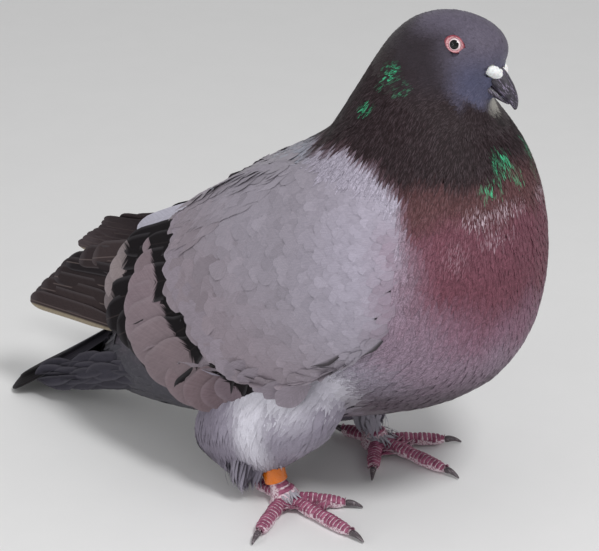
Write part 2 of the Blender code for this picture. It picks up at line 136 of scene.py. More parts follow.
def welded(name, swell=0.0):
    """A copy of a solid with its loose triangles joined, swollen by that many metres."""
    bm = bmesh.new()
    bm.from_mesh(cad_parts[name].data)
    bmesh.ops.remove_doubles(bm, verts=bm.verts, dist=1e-6)
    bm.normal_update()
    shifts = [(vert, vert.normal * swell) for vert in bm.verts]
    for vert, shift in shifts:
        vert.co += shift
    return bm


def evaluated(mesh, *modifiers):
    """A mesh after some modifiers, each given as its kind and its settings."""
    obj = bpy.data.objects.new(mesh.name, mesh)
    bpy.context.scene.collection.objects.link(obj)
    for kind, values in modifiers:
        modifier = obj.modifiers.new(kind.lower(), kind)
        for key, value in values.items():
            setattr(modifier, key, value)
    graph = bpy.context.evaluated_depsgraph_get()
    fine = bpy.data.meshes.new_from_object(obj.evaluated_get(graph))
    bpy.data.objects.remove(obj)
    return fine


def closed_over(names, voxel, rounds, swell=0.3):
    """Several solids as one smooth mesh without seams between them."""
    mesh = bpy.data.meshes.new("form")
    whole = bmesh.new()
    for name in names:
        piece = welded(name, swell * MM)
        piece.to_mesh(mesh)
        piece.free()
        whole.from_mesh(mesh)
    whole.to_mesh(mesh)
    whole.free()
    return evaluated(mesh, ("REMESH", {"mode": "VOXEL", "voxel_size": voxel * MM}),
                     ("SMOOTH", {"factor": 0.5, "iterations": rounds}))


class Form:
    """A surface in the bird's own measure, to lay vanes on and to look up places on."""

    def __init__(self, mesh):
        count = len(mesh.vertices)
        flat = np.empty(count * 3)
        mesh.vertices.foreach_get("co", flat)
        self.points = from_frame(flat.reshape(-1, 3))
        mesh.vertices.foreach_get("normal", flat)
        self.normals = flat.reshape(-1, 3).copy()
        self.faces = [tuple(polygon.vertices) for polygon in mesh.polygons]
        self.tree = BVHTree.FromPolygons([Vector(p) for p in self.points], self.faces)
        self.mesh = mesh

    def nearest(self, points):
        """The closest places on the surface, and the surface's normals there."""
        places, normals = np.empty((len(points), 3)), np.empty((len(points), 3))
        for i, point in enumerate(points):
            place, normal, face, _ = self.tree.find_nearest(Vector(point))
            corners = self.faces[face]
            soft = self.normals[list(corners)].mean(axis=0)
            places[i] = place
            normals[i] = soft if np.dot(soft, soft) > 0.01 else normal
        return places, unit(normals)


MADE = {}


def once(key, make):
    """Keeps what several operators share, so that it's worked out one time only."""
    if key not in MADE:
        MADE[key] = make()
    return MADE[key]


def body_form():
    return once("body", lambda: Form(closed_over(FLESH + PLUGS, 2.2, 9)))


def wing_form(side):
    word = "right" if side < 0 else "left"
    names = ("wing_" + word, "flight_" + word)
    return once("wing_" + word, lambda: Form(closed_over(names, 2.0, 4)))


def owners():
    """Which solid each face of the body's form came from."""
    def make():
        names, points, faces, tags = [], [], [], []
        for name in FLESH + PLUGS:
            bm = welded(name)
            start = len(points)
            points += [Vector(from_frame(vert.co)) for vert in bm.verts]
            for face in bm.faces:
                faces.append(tuple(vert.index + start for vert in face.verts))
                tags.append(name)
            bm.free()
        tree = BVHTree.FromPolygons(points, faces)
        form = body_form()
        centres = np.array([form.points[list(face)].mean(axis=0) for face in form.faces])
        names = np.array([tags[tree.find_nearest(Vector(centre))[2]] for centre in centres])
        names[(names == "bill_lower") & (centres[:, 2] < 254)] = "head"
        return names, centres
    return once("owners", make)


# ---------------------------------------------------------------- how the coat lies

# For each region its places, as x, |y|, z, the way the vanes point there, and their spacing, half
# width and length
LIE = {
    "body": {
        "bill_base": ((101, 4, 276), (-0.6, 0.3, 0.75), 1.1, 0.75, 2.4),
        "forehead": ((104, 0, 284), (-0.45, 0.0, 0.9), 1.2, 0.8, 2.8),
        "brow": ((95, 9, 291), (-0.9, 0.1, 0.4), 1.3, 0.9, 3.2),
        "crown": ((75, 0, 296), (-1.0, 0.0, 0.0), 1.5, 1.05, 4.2),
        "hind_crown": ((55, 0, 291), (-0.85, 0.0, -0.5), 1.6, 1.2, 5.0),
        "nape": ((38, 0, 277), (-0.6, 0.0, -0.8), 1.8, 1.25, 7.0),
        "lore": ((96, 10, 272), (-0.95, 0.2, 0.1), 1.1, 0.75, 2.4),
        "cheek": ((80, 17, 268), (-0.9, 0.1, -0.35), 1.3, 0.9, 3.4),
        "ear": ((65, 19, 272), (-0.85, 0.1, -0.5), 1.5, 1.0, 4.5),
        "chin": ((98, 3, 252), (-0.4, 0.2, -0.9), 1.2, 0.8, 3.0),
        "jaw": ((88, 14, 257), (-0.75, 0.2, -0.6), 1.3, 0.9, 3.6),
        "throat": ((104, 6, 241), (0.0, 0.1, -1.0), 1.7, 1.1, 6.0),
        "hindneck": ((22, 0, 252), (-0.45, 0.0, -0.9), 2.1, 1.5, 10.0),
        "neck_side": ((68, 34, 238), (-0.2, 0.3, -0.93), 2.0, 1.35, 9.5),
        "neck_front": ((118, 8, 226), (0.4, 0.1, -0.9), 2.0, 1.3, 9.0),
        "neck_low_side": ((80, 50, 208), (-0.1, 0.3, -0.95), 2.3, 1.6, 10.5),
        "neck_low_back": ((8, 20, 228), (-0.6, 0.2, -0.75), 3.0, 2.4, 12.0),
        "mantle": ((-14, 10, 207), (-0.9, 0.1, -0.4), 4.5, 4.2, 13.0),
        "back": ((-55, 6, 178), (-0.9, 0.0, -0.45), 5.5, 5.0, 15.0),
        "rump": ((-98, 4, 130), (-0.8, 0.0, -0.6), 5.5, 5.0, 17.0),
        "tail_root": ((-140, 6, 75), (-0.85, 0.0, -0.5), 5.0, 5.0, 20.0),
        "breast_front": ((131, 6, 195), (0.0, 0.05, -1.0), 2.8, 2.1, 10.0),
        "breast_mid": ((127, 20, 160), (-0.05, 0.1, -1.0), 3.0, 2.4, 10.5),
        "breast_side": ((95, 54, 160), (-0.25, 0.2, -0.95), 3.2, 2.6, 11.0),
        "breast_low": ((122, 20, 125), (-0.35, 0.15, -0.92), 3.4, 2.8, 11.5),
        "belly_front": ((100, 30, 90), (-0.75, 0.2, -0.6), 4.0, 3.4, 13.0),
        "belly": ((40, 25, 50), (-1.0, 0.1, -0.1), 5.0, 4.2, 15.0),
        "belly_side": ((70, 52, 95), (-0.85, 0.1, -0.5), 4.2, 3.6, 14.0),
        "flank": ((0, 60, 70), (-0.95, 0.1, -0.3), 5.0, 4.2, 16.0),
        "vent": ((-60, 20, 25), (-1.0, 0.0, -0.08), 5.5, 4.8, 18.0),
        "undertail": ((-125, 10, 18), (-0.98, 0.0, -0.2), 6.0, 5.5, 22.0),
    },
    "wing": {
        "shoulder_front": ((78, 58, 170), (-0.8, 0.1, -0.35), 3.4, 2.8, 9.0),
        "shoulder_top": ((66, 50, 205), (-0.9, 0.2, -0.1), 3.4, 2.8, 9.0),
        "fore_edge_low": ((66, 66, 125), (-0.85, 0.0, -0.2), 3.6, 3.0, 10.0),
        "wing_mid": ((20, 66, 160), (-0.92, 0.0, -0.35), 5.6, 5.2, 14.0),
        "wing_top": ((15, 42, 210), (-0.93, 0.1, -0.3), 5.0, 4.4, 14.0),
        "wing_low": ((10, 70, 100), (-0.95, 0.0, -0.2), 5.6, 5.0, 14.0),
        "wing_rear": ((-50, 55, 140), (-0.85, 0.0, -0.5), 7.5, 7.5, 19.0),
        "wing_rear_top": ((-60, 20, 172), (-0.85, 0.1, -0.5), 7.0, 6.5, 20.0),
        "wing_end": ((-95, 40, 120), (-0.85, 0.0, -0.5), 7.5, 7.5, 20.0),
    },
    "thigh": {
        "thigh_top": ((0, 50, 85), (-0.30, 0.1, -0.93), 3.4, 2.8, 20.0),
        "thigh_mid": ((-10, 52, 58), (-0.12, -0.1, -0.98), 2.9, 2.2, 20.0),
        "thigh_rear": ((-50, 48, 50), (0.22, -0.1, -0.95), 3.2, 2.5, 20.0),
        "thigh_low": ((-25, 44, 25), (0.15, -0.1, -1.0), 2.2, 1.5, 13.0),
        "thigh_front": ((28, 50, 68), (-0.62, -0.1, -0.78), 3.2, 2.5, 18.0),
    },
}


def region_of(owner):
    part = owner.split("_")[0]
    return part if part in ("wing", "thigh") else "body"


def lie_of_coat(points, regions):
    """The way the vanes point, and their spacing, half width and length, at each place."""
    folded = mirrored(points)
    result = np.zeros((len(points), 6))
    for region, rows in LIE.items():
        places = np.array([place for place, *_ in rows.values()], dtype=float)
        values = np.array([(*way, *sizes) for _, way, *sizes in rows.values()], dtype=float)
        mine = np.asarray(regions) == region
        if not mine.any():
            continue
        gaps = ((folded[mine][:, None, :] - places[None]) ** 2).sum(axis=2)
        weights = 1.0 / (gaps + 60.0) ** 2.2
        result[mine] = weights @ values / weights.sum(axis=1, keepdims=True)
    ways = result[:, :3]
    ways[:, 1] *= np.sign(points[:, 1])
    return ways, result[:, 3], result[:, 4], result[:, 5]


# ---------------------------------------------------------------- markings

PALETTE = {
    "crown": "5a5463",
    "face": "50516a",
    "hind_head": "2a2229",
    "neck": "1f1115",
    "neck_brown": "553638",
    "wine": "6b404c",
    "wine_low": "7f5f70",
    "belly": "8a7787",
    # painted shade of the belly's underside
    "belly_painted_shade": "4e424c",
    "flank": "9a94a3",
    "shield": "908a95",
    # a lighter grey, painted light where the light falls most on the shoulder
    "shoulder": "a39dac",
    "low_shield": "83777f",
    "back": "989aa6",
    "throat": "cfcbc2",
    "thigh": "928c9b",
    "thigh_pale": "d3d1dc",
    "thigh_low": "6b6373",
    "undertail": "393740",
}

# Where the grey of shield and flank ends against the dark neck and breast, as x, z in side view
GREY_EDGE = [(-60, 192), (-4, 211), (21, 221), (35, 223), (47, 222), (57, 218), (66, 214), (73, 207),
             (78, 201), (82, 193), (84, 184), (85, 173), (86, 163), (88, 152), (93, 140), (103, 122),
             (118, 96)]


def onto_line(points, line):
    """Each place against a line in side view: the line's runs, the nearest one's number, the
    share along it, and the way from there to the place."""
    line = np.array(line, dtype=float)
    flat = points[:, None, (0, 2)]
    starts, runs = line[:-1], np.diff(line, axis=0)
    share = np.clip(((flat - starts) * runs).sum(axis=2) / (runs ** 2).sum(axis=1), 0, 1)
    away = flat - (starts + share[..., None] * runs)
    best = np.argmin((away ** 2).sum(axis=2), axis=1)
    row = np.arange(len(points))
    return runs, best, share[row, best], away[row, best]


def past_line(points, line):
    """How far each place is beyond a line in side view, on the line's left as it runs."""
    runs, best, _, away = onto_line(points, line)
    turn = runs[best, 0] * away[:, 1] - runs[best, 1] * away[:, 0]
    return np.linalg.norm(away, axis=1) * np.sign(turn)


def blended(under, name, share):
    share = np.clip(share, 0.0, 1.0)[:, None]
    return under * (1 - share) + np.array(linear(PALETTE[name])) * share


def near(points, centre, reach, soft=0.5):
    """How much of a patch is left at each place: 1 in its middle and 0 beyond its reach."""
    centre, reach = np.array(centre, dtype=float), np.array(reach, dtype=float)
    distance = np.linalg.norm((points - centre) / reach, axis=1)
    return 1 - smoothstep(1 - soft, 1 + soft, distance)


def body_colours(points):
    folded = mirrored(points)
    x, y, z = folded.T
    wander = waves(points, 26.0, 3)
    colour = np.tile(np.array(linear(PALETTE["belly"])), (len(points), 1))
    colour = blended(colour, "flank", near(folded, (30, 60, 85), (45, 40, 35)))
    # painted shade: the belly darkens at its low front and underneath, where less light falls
    colour = blended(colour, "belly_painted_shade", smoothstep(113, 78, z) * smoothstep(24, 46, x))
    colour = blended(colour, "belly_painted_shade", smoothstep(70, 50, z) * smoothstep(60, 30, y))
    colour = blended(colour, "undertail", smoothstep(-50, -90, x) * smoothstep(95, 50, z))
    over_back = z - (120 + 0.62 * (x + 100))
    colour = blended(colour, "back", smoothstep(-12, 12, over_back) * smoothstep(30, -10, x))
    # painted light: lighter high on the body at the shoulder, where the light falls most
    colour = blended(colour, "shoulder", smoothstep(132, 176, z) * smoothstep(-12, 24, x)
                     * (1 - 0.3 * smoothstep(205, 170, z)))
    # neck and breast: dark above, then brown, wine-red and mauve
    height = z + 4 * wander
    front = past_line(folded, GREY_EDGE) + 2.5 * wander + 1.5 * waves(points, 8.0, 4)
    fade = 5 + 13 * smoothstep(205, 165, z)
    front = np.maximum(smoothstep(-fade, fade, front), smoothstep(112, 120, x))
    breast = front * np.maximum(smoothstep(60, 76, x), smoothstep(206, 214, z))
    colour = blended(colour, "wine_low", breast * smoothstep(96, 130, height))
    colour = blended(colour, "wine", breast * smoothstep(126, 158, height))
    colour = blended(colour, "neck_brown", breast * smoothstep(186, 204, height))
    colour = blended(colour, "neck", breast * smoothstep(203, 222, height - 0.12 * (x - 100)))
    colour = blended(colour, "neck", front * smoothstep(78, 60, x) * smoothstep(150, 165, z))
    # the head, slate in front and on the crown, and darker behind the eye
    head = smoothstep(-3, 7, 0.4 * (x - 79) + 0.92 * (z - 254) + 2.0 * waves(points, 9.0, 5))
    colour = blended(colour, "hind_head", head)
    slate = np.maximum(smoothstep(66, 92, x + 0.3 * (z - 275)),
                       smoothstep(279, 293, z) * smoothstep(44, 62, x))
    colour = blended(colour, "crown", head * slate)
    colour = blended(colour, "face", head * smoothstep(285, 262, z) * smoothstep(76, 94, x))
    colour = blended(colour, "hind_head", near(folded, (66, 20, 260), (13, 9, 8), 0.8) * 0.6)
    colour = blended(colour, "throat", near(points, (95, 7, 246), (5, 6, 6), 0.7) * 0.9)
    return colour


def wing_colours(points):
    folded = mirrored(points)
    x, _, z = folded.T
    colour = np.tile(np.array(linear(PALETTE["shield"])), (len(points), 1))
    colour = blended(colour, "low_shield", smoothstep(160, 90, z + 0.45 * x) * 0.8)
    # painted light: the shield's front is lighter, where the light falls most
    colour = blended(colour, "shoulder", near(folded, (62, 62, 180), (34, 40, 44), 0.8))
    colour = blended(colour, "wine_low", 0.6 * smoothstep(58, 84, x + 3 * waves(points, 20.0, 6))
                     * smoothstep(205, 180, z))
    return colour * (1 + 0.05 * waves(points, 13.0, 12) + 0.03 * waves(points, 5.0, 13))[:, None]


def thigh_colours(points):
    folded = mirrored(points)
    z = folded[:, 2]
    colour = np.tile(np.array(linear(PALETTE["thigh"])), (len(points), 1))
    x = folded[:, 0] + 2.5 * waves(points, 12.0, 8)
    colour = blended(colour, "thigh_low", smoothstep(46, 20, z) * 0.8)
    colour = blended(colour, "thigh_low", smoothstep(-24, -42, x) * 0.75)
    colour = blended(colour, "thigh_low", smoothstep(14, 34, x) * smoothstep(80, 60, z) * 0.5)
    colour = blended(colour, "thigh_pale", near(folded, (0, 68, 74), (22, 20, 13), 0.8))
    colour = blended(colour, "thigh_pale", near(folded, (-10, 66, 52), (8.5, 22, 30), 0.7))
    return colour


def markings(points, regions):
    colour = body_colours(points)
    regions = np.asarray(regions)
    for region, paint in (("wing", wing_colours), ("thigh", thigh_colours)):
        mine = regions == region
        if mine.any():
            colour[mine] = paint(points[mine])
    folded = mirrored(points)
    wedge = near(folded, (35, 60, 88), (12, 18, 15), 0.9) * (regions != "wing")
    return np.clip(blended(colour, "thigh_pale", 0.7 * wedge), 0, 1)


# Where the green of the neck catches the light, as a painted sheen: the middle of each patch, its
# reach and strength
GREEN = [((112, 11, 220), 6.5, 1.0), ((114, 21, 211), 4.5, 0.7), ((118, 5, 211), 4.5, 0.5),
         ((111, 26, 208), 4.5, 0.9), ((49, 22, 262), 5.5, 0.9), ((46, 25, 255), 4.0, 0.5),
         ((39, 31, 242), 4.5, 0.8), ((58, 26, 256), 4.5, 0.35)]
LEFT_SHIFT = 10             # the left side's patches lie this much further out

# Painted highlights, where barbs gleam, pale and rosy: the middle of each place, its reach and strength
GLEAMS = [((111, 33, 196), (9, 9, 5), 1.0), ((119, 17, 198), (7, 12, 4.5), 0.9),
          ((118, 26, 184), (8, 10, 3.5), 0.8), ((104, 45, 177), (6, 8, 8), 0.3)]


def painted_green_sheen(points, seed):
    """How much painted green sheen each place has: broken patches on the front of the neck and the nape."""
    folded = points.copy()
    folded[:, 1] = np.where(points[:, 1] > 0, points[:, 1] - LEFT_SHIFT, -points[:, 1])
    share = np.zeros(len(points))
    for centre, reach, most in GREEN:
        share = np.maximum(share, most * near(folded, centre, (reach,) * 3, 0.5))
    share *= smoothstep(-0.9, 0.1, waves(points, 5.0, 41))
    rng = np.random.default_rng(seed)
    return share * rng.uniform(0.4, 1.0, len(points)) * (rng.random(len(points)) < 0.75)


def gleam(points):
    """Painted highlights: where single barbs of neck and breast catch the light, pale and rosy."""
    folded = mirrored(points)
    share = 0.06 * smoothstep(150, 190, points[:, 2]) * smoothstep(268, 250, points[:, 2])
    share = share * smoothstep(-10, 30, points[:, 0])
    for centre, reach, most in GLEAMS:
        share = np.maximum(share, most * near(folded, centre, reach, 0.7))
    return share


# ---------------------------------------------------------------- vanes

def vane_grid(columns, rows):
    """A flat vane to copy: places across (-1 to 1) and along (0 to 1), and its faces."""
    bm = bmesh.new()
    bmesh.ops.create_grid(bm, x_segments=columns, y_segments=rows, size=1.0)
    across = np.array([vert.co.x for vert in bm.verts])
    along = np.array([(vert.co.y + 1) / 2 for vert in bm.verts])
    faces = np.array([[vert.index for vert in face.verts] for face in bm.faces])
    bm.free()
    return across, np.sin(along * math.pi / 2) ** 0.9, faces


def broad(along):
    """The half width of a large covert: full to near its round end."""
    tip = np.sqrt(np.clip(1 - (np.clip(along - 0.74, 0, 1) / 0.265) ** 2, 0.012, 1))
    return (0.5 + 0.5 * smoothstep(0.0, 0.45, along)) * tip


def rounded(along):
    """The half width of a contour feather: narrow root, full middle and round tip."""
    tip = np.sqrt(np.clip(1 - smoothstep(0.0, 1.0, (along - 0.56) / 0.46) ** 2, 0.012, 1))
    return (0.45 + 0.55 * smoothstep(0.0, 0.5, along)) * tip


def pointed(along):
    """The half width of a soft long covert, full in the middle and drawn to a soft point."""
    return (0.5 + 0.5 * smoothstep(0.0, 0.4, along)) * (1 - 0.93 * smoothstep(0.42, 1.0, along))


def lancet(along):
    """The half width of a hackle, which runs out to a point."""
    return (0.5 + 0.5 * smoothstep(0.0, 0.35, along)) * (1 - 0.9 * smoothstep(0.35, 1.0, along))


def blade(along):
    """The half width of a flight feather: even, with a bluntly rounded tip."""
    tip = np.sqrt(np.clip(1 - (np.clip(along - 0.86, 0, 1) / 0.145) ** 2, 0.012, 1))
    return (0.55 + 0.45 * smoothstep(0.0, 0.4, along)) * tip


def spine_place(points):
    """Each place as shares along the bird's spine and round it, its place on the plumage map."""
    runs, best, share, away = onto_line(points, SPINE)
    lengths = np.linalg.norm(runs, axis=1)
    before = np.concatenate([[0], np.cumsum(lengths)[:-1]])
    along = (before[best] + share * lengths[best]) / lengths.sum()
    ups = np.stack([-runs[:, 1], runs[:, 0]], axis=1) / lengths[:, None]
    height = (away * ups[best]).sum(axis=1)
    turn = np.arctan2(points[:, 1], height) / (2 * math.pi) + 0.5
    return np.stack([0.02 + 0.96 * along, 0.02 + 0.96 * turn], axis=1)


class Vanes:
    """Vanes of one coat piece, laid a batch at a time and then joined as one mesh."""

    def __init__(self):
        self.parts = []
        self.count = 0

    def lay(self, pattern, outline, lines, sides, normals, halves, lengths, heights, tints, **looks):
        """Lays a batch. lines holds each vane's root, middle and tip; sides and normals hold its
        frame at the root and tip; heights holds how far root and tip stand off the lines."""
        across, along, faces = pattern
        n, m = len(lines), len(across)
        t = along[None, :, None]
        root, middle, tip = (lines[:, None, i] for i in range(3))
        centre = root * (1 - t) * (1 - 2 * t) + 4 * middle * t * (1 - t) + tip * t * (2 * t - 1)
        normal = unit(normals[:, None, 0] * (1 - t) + normals[:, None, 1] * t)
        side = unit(sides[:, None, 0] * (1 - t) + sides[:, None, 1] * t)
        width = halves[:, None] * outline(along)[None]
        lean = looks.get("lean", 0.0)
        reach = across[None] * width * np.where(across[None] > 0, 1 + lean, 1 - lean)
        lift = heights[:, :1] + (heights[:, 1:] - heights[:, :1]) * along[None] ** 0.8
        lift = lift - looks.get("camber", 0.12) * width * across[None] ** 2
        lift = lift + looks.get("roll", np.zeros(n))[:, None] * reach
        if "ripple" in looks:
            phase = looks["ripple"][:, None]
            lift = lift + 0.05 * width * np.sin(along[None] * 9 + phase) * np.abs(across[None])
        points = centre + side * reach[..., None] + normal * lift[..., None]
        patch = spine_place(lines[:, 0])[:, None] + PATCH * np.stack([across / 2, along - 0.5], axis=1)[None]
        shape = np.empty((n, m, 4))
        shape[..., 0] = np.abs(across)[None]
        shape[..., 1] = along[None]
        shape[..., 2] = looks.get("chance", np.full(n, 0.5))[:, None]
        shape[..., 3] = looks.get("quill", 0.0)
        bars = np.zeros((n, m, 4))
        bars[...] = looks.get("bars", np.array([NO_BARS]))[:, None]
        tint = np.ones((n, m, 4))
        tints = tints if tints.ndim == 3 else tints[:, None]
        tint[..., :tints.shape[-1]] = tints
        if tints.shape[-1] == 3:
            tint[..., 3] = 0.0
        vane = np.stack([reach, along[None] * lengths[:, None]], axis=2)
        self.put(points, patch, vane, shape, bars, tint, faces, normal * looks.get("soft", 0.0))

    def put(self, points, patch, vane, shape, bars, tint, faces, soft):
        """Adds a batch whose shape is known: n copies of m places each. soft is the direction
        that the shading leans to, as long as its share."""
        n, m = points.shape[:2]
        self.parts.append([a.reshape(n * m, -1) for a in (points, patch, vane, shape, bars, tint, soft)]
                          + [(faces[None] + (self.count + np.arange(n) * m)[:, None, None]).reshape(-1, 4)])
        self.count += n * m

    def join(self, name, finish):
        points, patch, vane, shape, bars, tint, soft, faces = (np.concatenate(g) for g in zip(*self.parts))
        mesh = bpy.data.meshes.new(name)
        mesh.vertices.add(len(points))
        mesh.vertices.foreach_set("co", to_frame(points).ravel())
        mesh.loops.add(faces.size)
        mesh.loops.foreach_set("vertex_index", faces.ravel())
        mesh.polygons.add(len(faces))
        mesh.polygons.foreach_set("loop_start", np.arange(len(faces)) * 4)
        mesh.polygons.foreach_set("loop_total", np.full(len(faces), 4))
        mesh.update(calc_edges=True)
        mesh.shade_smooth()
        own = np.empty(points.size)
        mesh.vertices.foreach_get("normal", own)
        share = np.linalg.norm(soft, axis=1, keepdims=True)
        mesh.normals_split_custom_set_from_vertices(unit(own.reshape(-1, 3) * (1 - share) + soft))
        for layer, values in (("OFBake", patch), ("Vane", vane)):
            mesh.uv_layers.new(name=layer).data.foreach_set("uv", values[faces.ravel()].ravel())
        for layer, values in (("Tint", tint), ("Shape", shape), ("Bars", bars)):
            mesh.attributes.new(layer, "FLOAT_COLOR", "POINT").data.foreach_set("color", values.ravel())
        return shown(name, mesh, finish)


def spans(lines):
    """How far it is from each vane's root to its tip."""
    return np.linalg.norm(lines[:, 2] - lines[:, 0], axis=1)


def sides_of(lines, normals):
    """The way across each vane, at its root and at its tip."""
    forward = unit(lines[:, 2] - lines[:, 0])[:, None]
    return unit(np.cross(np.repeat(forward, 2, axis=1), normals))


def at_both_ends(ways):
    return np.stack([ways] * 2, axis=1)


def shown(name, mesh, finish, replaces=()):
    """A finished piece: an object at the origin that rides on the frame."""
    obj = bpy.data.objects.new(name, mesh)
    bpy.context.scene.collection.objects.link(obj)
    mesh.materials.clear()
    mesh.materials.append(finish)
    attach(obj, "root")
    if replaces:
        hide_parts(*replaces)
    return obj


TRIALS = 5.0                # how many roots are tried for each one that has room
CLOSEST = 0.86              # the least gap between two roots, as a share of their spacing


def scattered():
    """Where the small vanes are rooted: an even scatter over the body's form, closer where the
    vanes are smaller, with the region and solid of each."""
    def make():
        form = body_form()
        names, centres = owners()
        quads = [face if len(face) == 4 else (*face, face[-1]) for face in form.faces]
        corners = form.points[np.array(quads)]
        crossed = np.cross(corners[:, 2] - corners[:, 0], corners[:, 3] - corners[:, 1])
        areas = np.linalg.norm(crossed, axis=1) / 2
        regions = np.array([region_of(name) for name in names])
        _, spacing, _, _ = lie_of_coat(centres, regions)
        rng = np.random.default_rng(17)
        wanted = rng.poisson(areas / spacing ** 2 * TRIALS)
        which = np.repeat(np.arange(len(quads)), wanted)
        u, v = rng.random((2, len(which), 1))
        quad = corners[which]
        points = ((quad[:, 0] * (1 - u) + quad[:, 1] * u) * (1 - v)
                  + (quad[:, 3] * (1 - u) + quad[:, 2] * u) * v)
        order = rng.permutation(len(which))
        cell = 3.0
        grid, kept = {}, []
        keys = np.floor(points / cell).astype(int)
        gaps = spacing[which] * CLOSEST
        for i in order:
            gap = gaps[i]
            reach = int(gap / cell) + 1
            x, y, z = points[i]
            cells = itertools.product(*(range(k - reach, k + reach + 1) for k in keys[i]))
            if all((px - x) ** 2 + (py - y) ** 2 + (pz - z) ** 2 >= gap * gap
                   for near_by in cells for px, py, pz in grid.get(near_by, ())):
                grid.setdefault(tuple(keys[i]), []).append((x, y, z))
                kept.append(i)
        kept = np.array(kept)
        return points[kept], names[which[kept]], regions[which[kept]]
    return once("scattered", make)


def follow(form, points, ways, lengths):
    """Lines of root, middle and tip that run over the form, with the frames at root and tip."""
    roots, n0 = form.nearest(points)
    ways = unit(ways - n0 * (ways * n0).sum(axis=1, keepdims=True))
    middles, n1 = form.nearest(roots + ways * lengths[:, None] * 0.5)
    onward = middles - roots
    onward = unit(onward - n1 * (onward * n1).sum(axis=1, keepdims=True))
    tips, n2 = form.nearest(middles + onward * lengths[:, None] * 0.5)
    final = unit(tips - middles)
    lines = np.stack([roots, middles, tips], axis=1)
    normals = np.stack([n0, n2], axis=1)
    sides = np.stack([unit(np.cross(ways, n0)), unit(np.cross(final, n2))], axis=1)
    return lines, sides, normals


def bare(points):
    """Places without vanes: under the swollen cere, and round the eyes and their lids."""
    folded = mirrored(points)
    settings = bpy.context.scene.pigeon_head
    turn = np.array(looking(1).inverted().to_3x3())
    local = (folded - np.array(EYE_CENTRE)) @ turn.T
    angle = np.arctan2(local[:, 1], local[:, 0]) - math.radians(LID_TILT)
    hidden = np.hypot(local[:, 0], local[:, 1]) < lid_reach(angle, settings.lid_size) + 0.3
    hidden &= local[:, 2] > -3.0
    for centre, reach in (((99.0, 7, 270), (5.5, 3.8, 4.4)), ((102, 0, 267), (6, 4.5, 4.2))):
        hidden |= near(folded, centre, reach, 0.02) > 0.5
    return hidden


# The scapulars cover the wings' tops this far out, and from here backwards
SCAPULARS_REACH, SCAPULARS_START = 28, -10

# Coat pieces: name, solids it grows from, columns and rows of a vane, outline, finish and slot
COATS = {
    "head": (("head",), 2, 4, rounded, "face", "slate"),
    "neck": (("neck",), 2, 5, lancet, "hackle", "neck"),
    "breast": (("breast",), 2, 5, lancet, "hackle", "breast"),
    "trunk": (("trunk",), 4, 5, rounded, "contour", "grey"),
    "thighs": (("thigh_left", "thigh_right"), 2, 6, lancet, "contour", "grey"),
    "coverts_right": (("wing_right",), 4, 6, rounded, "contour", "grey"),
    "coverts_left": (("wing_left",), 4, 6, rounded, "contour", "grey"),
}


def line_x(line, z):
    """How far forward a line over the wing is at each height."""
    line = sorted(line, key=lambda point: point[1])
    return np.interp(z, [height for _, height in line], [x for x, _ in line])


def on_shield(points, reach):
    """Whether vanes that reach that far back end within the grey shield of the wing."""
    return points[:, 0] - reach > line_x(SHIELD_REAR, points[:, 2])


def grow_coat(key, finish, depth, rise, fullness):
    """The small vanes that grow from some of the solids, as one piece."""
    solids, columns, rows, outline, *_ = COATS[key]
    points, names, regions = scattered()
    mine = np.isin(names, solids) & ~bare(points)
    points, regions = points[mine], regions[mine]
    rng = np.random.default_rng(len(key) * 31 + 5)
    ways, _, halves, lengths = lie_of_coat(points, regions)
    if key.startswith("coverts"):       # larger feathers take over past the grey shield
        beside_scapulars = (np.abs(points[:, 1]) > SCAPULARS_REACH) | (points[:, 0] > SCAPULARS_START)
        inside = on_shield(points, 0.45 * lengths) & beside_scapulars
        points, regions, ways, halves, lengths = (
            kept[inside] for kept in (points, regions, ways, halves, lengths))
    n = len(points)
    closer = 1 + 0.25 * smoothstep(6.0, 3.0, lengths)       # the short vanes of the face overlap more
    halves = halves * rng.uniform(0.85, 1.15, n) * fullness * closer
    lengths = lengths * rng.uniform(0.85, 1.15, n) * fullness * closer
    _, n0 = body_form().nearest(points)
    ways = unit(ways)
    stray = rng.normal(0.0, 0.07, n)[:, None]
    ways = unit(ways + np.cross(n0, ways) * stray)
    lines, sides, normals = follow(body_form(), points - ways * lengths[:, None] * 0.5, ways, lengths)
    chance = rng.random(n)
    tip_places = lines[:, 2] * 0.6 + lines[:, 1] * 0.4
    tints = np.ones((n, 4))
    tints[:, :3] = markings(tip_places, regions) * (1 + rng.normal(0, 0.035, n))[:, None]
    # the alpha carries the painted green sheen
    tints[:, 3] = painted_green_sheen(tip_places, 23)
    small = smoothstep(1.0, 7.0, lengths)
    # on the wing's upper side the tips lie flush, because the scapulars cover them
    flush = 1 - 0.8 * smoothstep(0.35, 0.75, n0[:, 2]) * (regions == "wing")
    heights = np.stack([-depth * small, rise * small * flush * (0.6 + 0.8 * chance)], axis=1)
    bars = np.tile(np.array(NO_BARS), (n, 1))
    # the alpha carries the painted gleam
    bars[:, 3] = gleam(tip_places)
    vanes = Vanes()
    vanes.lay(vane_grid(columns, rows), outline, lines, sides, normals, halves, lengths, heights,
              np.clip(tints, 0, 1), chance=chance, roll=rng.normal(0, 0.05, n),
              ripple=rng.uniform(0, 6, n), camber=0.10, bars=bars, soft=0.8)
    return vanes.join(key + "_plumage", finish)


def bridged(places, heights):
    """The outline over a row of heights, with its valleys bridged."""
    hull = []
    for point in zip(places, heights):
        while len(hull) > 1 and ((hull[-1][0] - hull[-2][0]) * (point[1] - hull[-2][1])
                                 >= (hull[-1][1] - hull[-2][1]) * (point[0] - hull[-2][0])):
            hull.pop()
        hull.append(point)
    return np.interp(places, *zip(*hull))


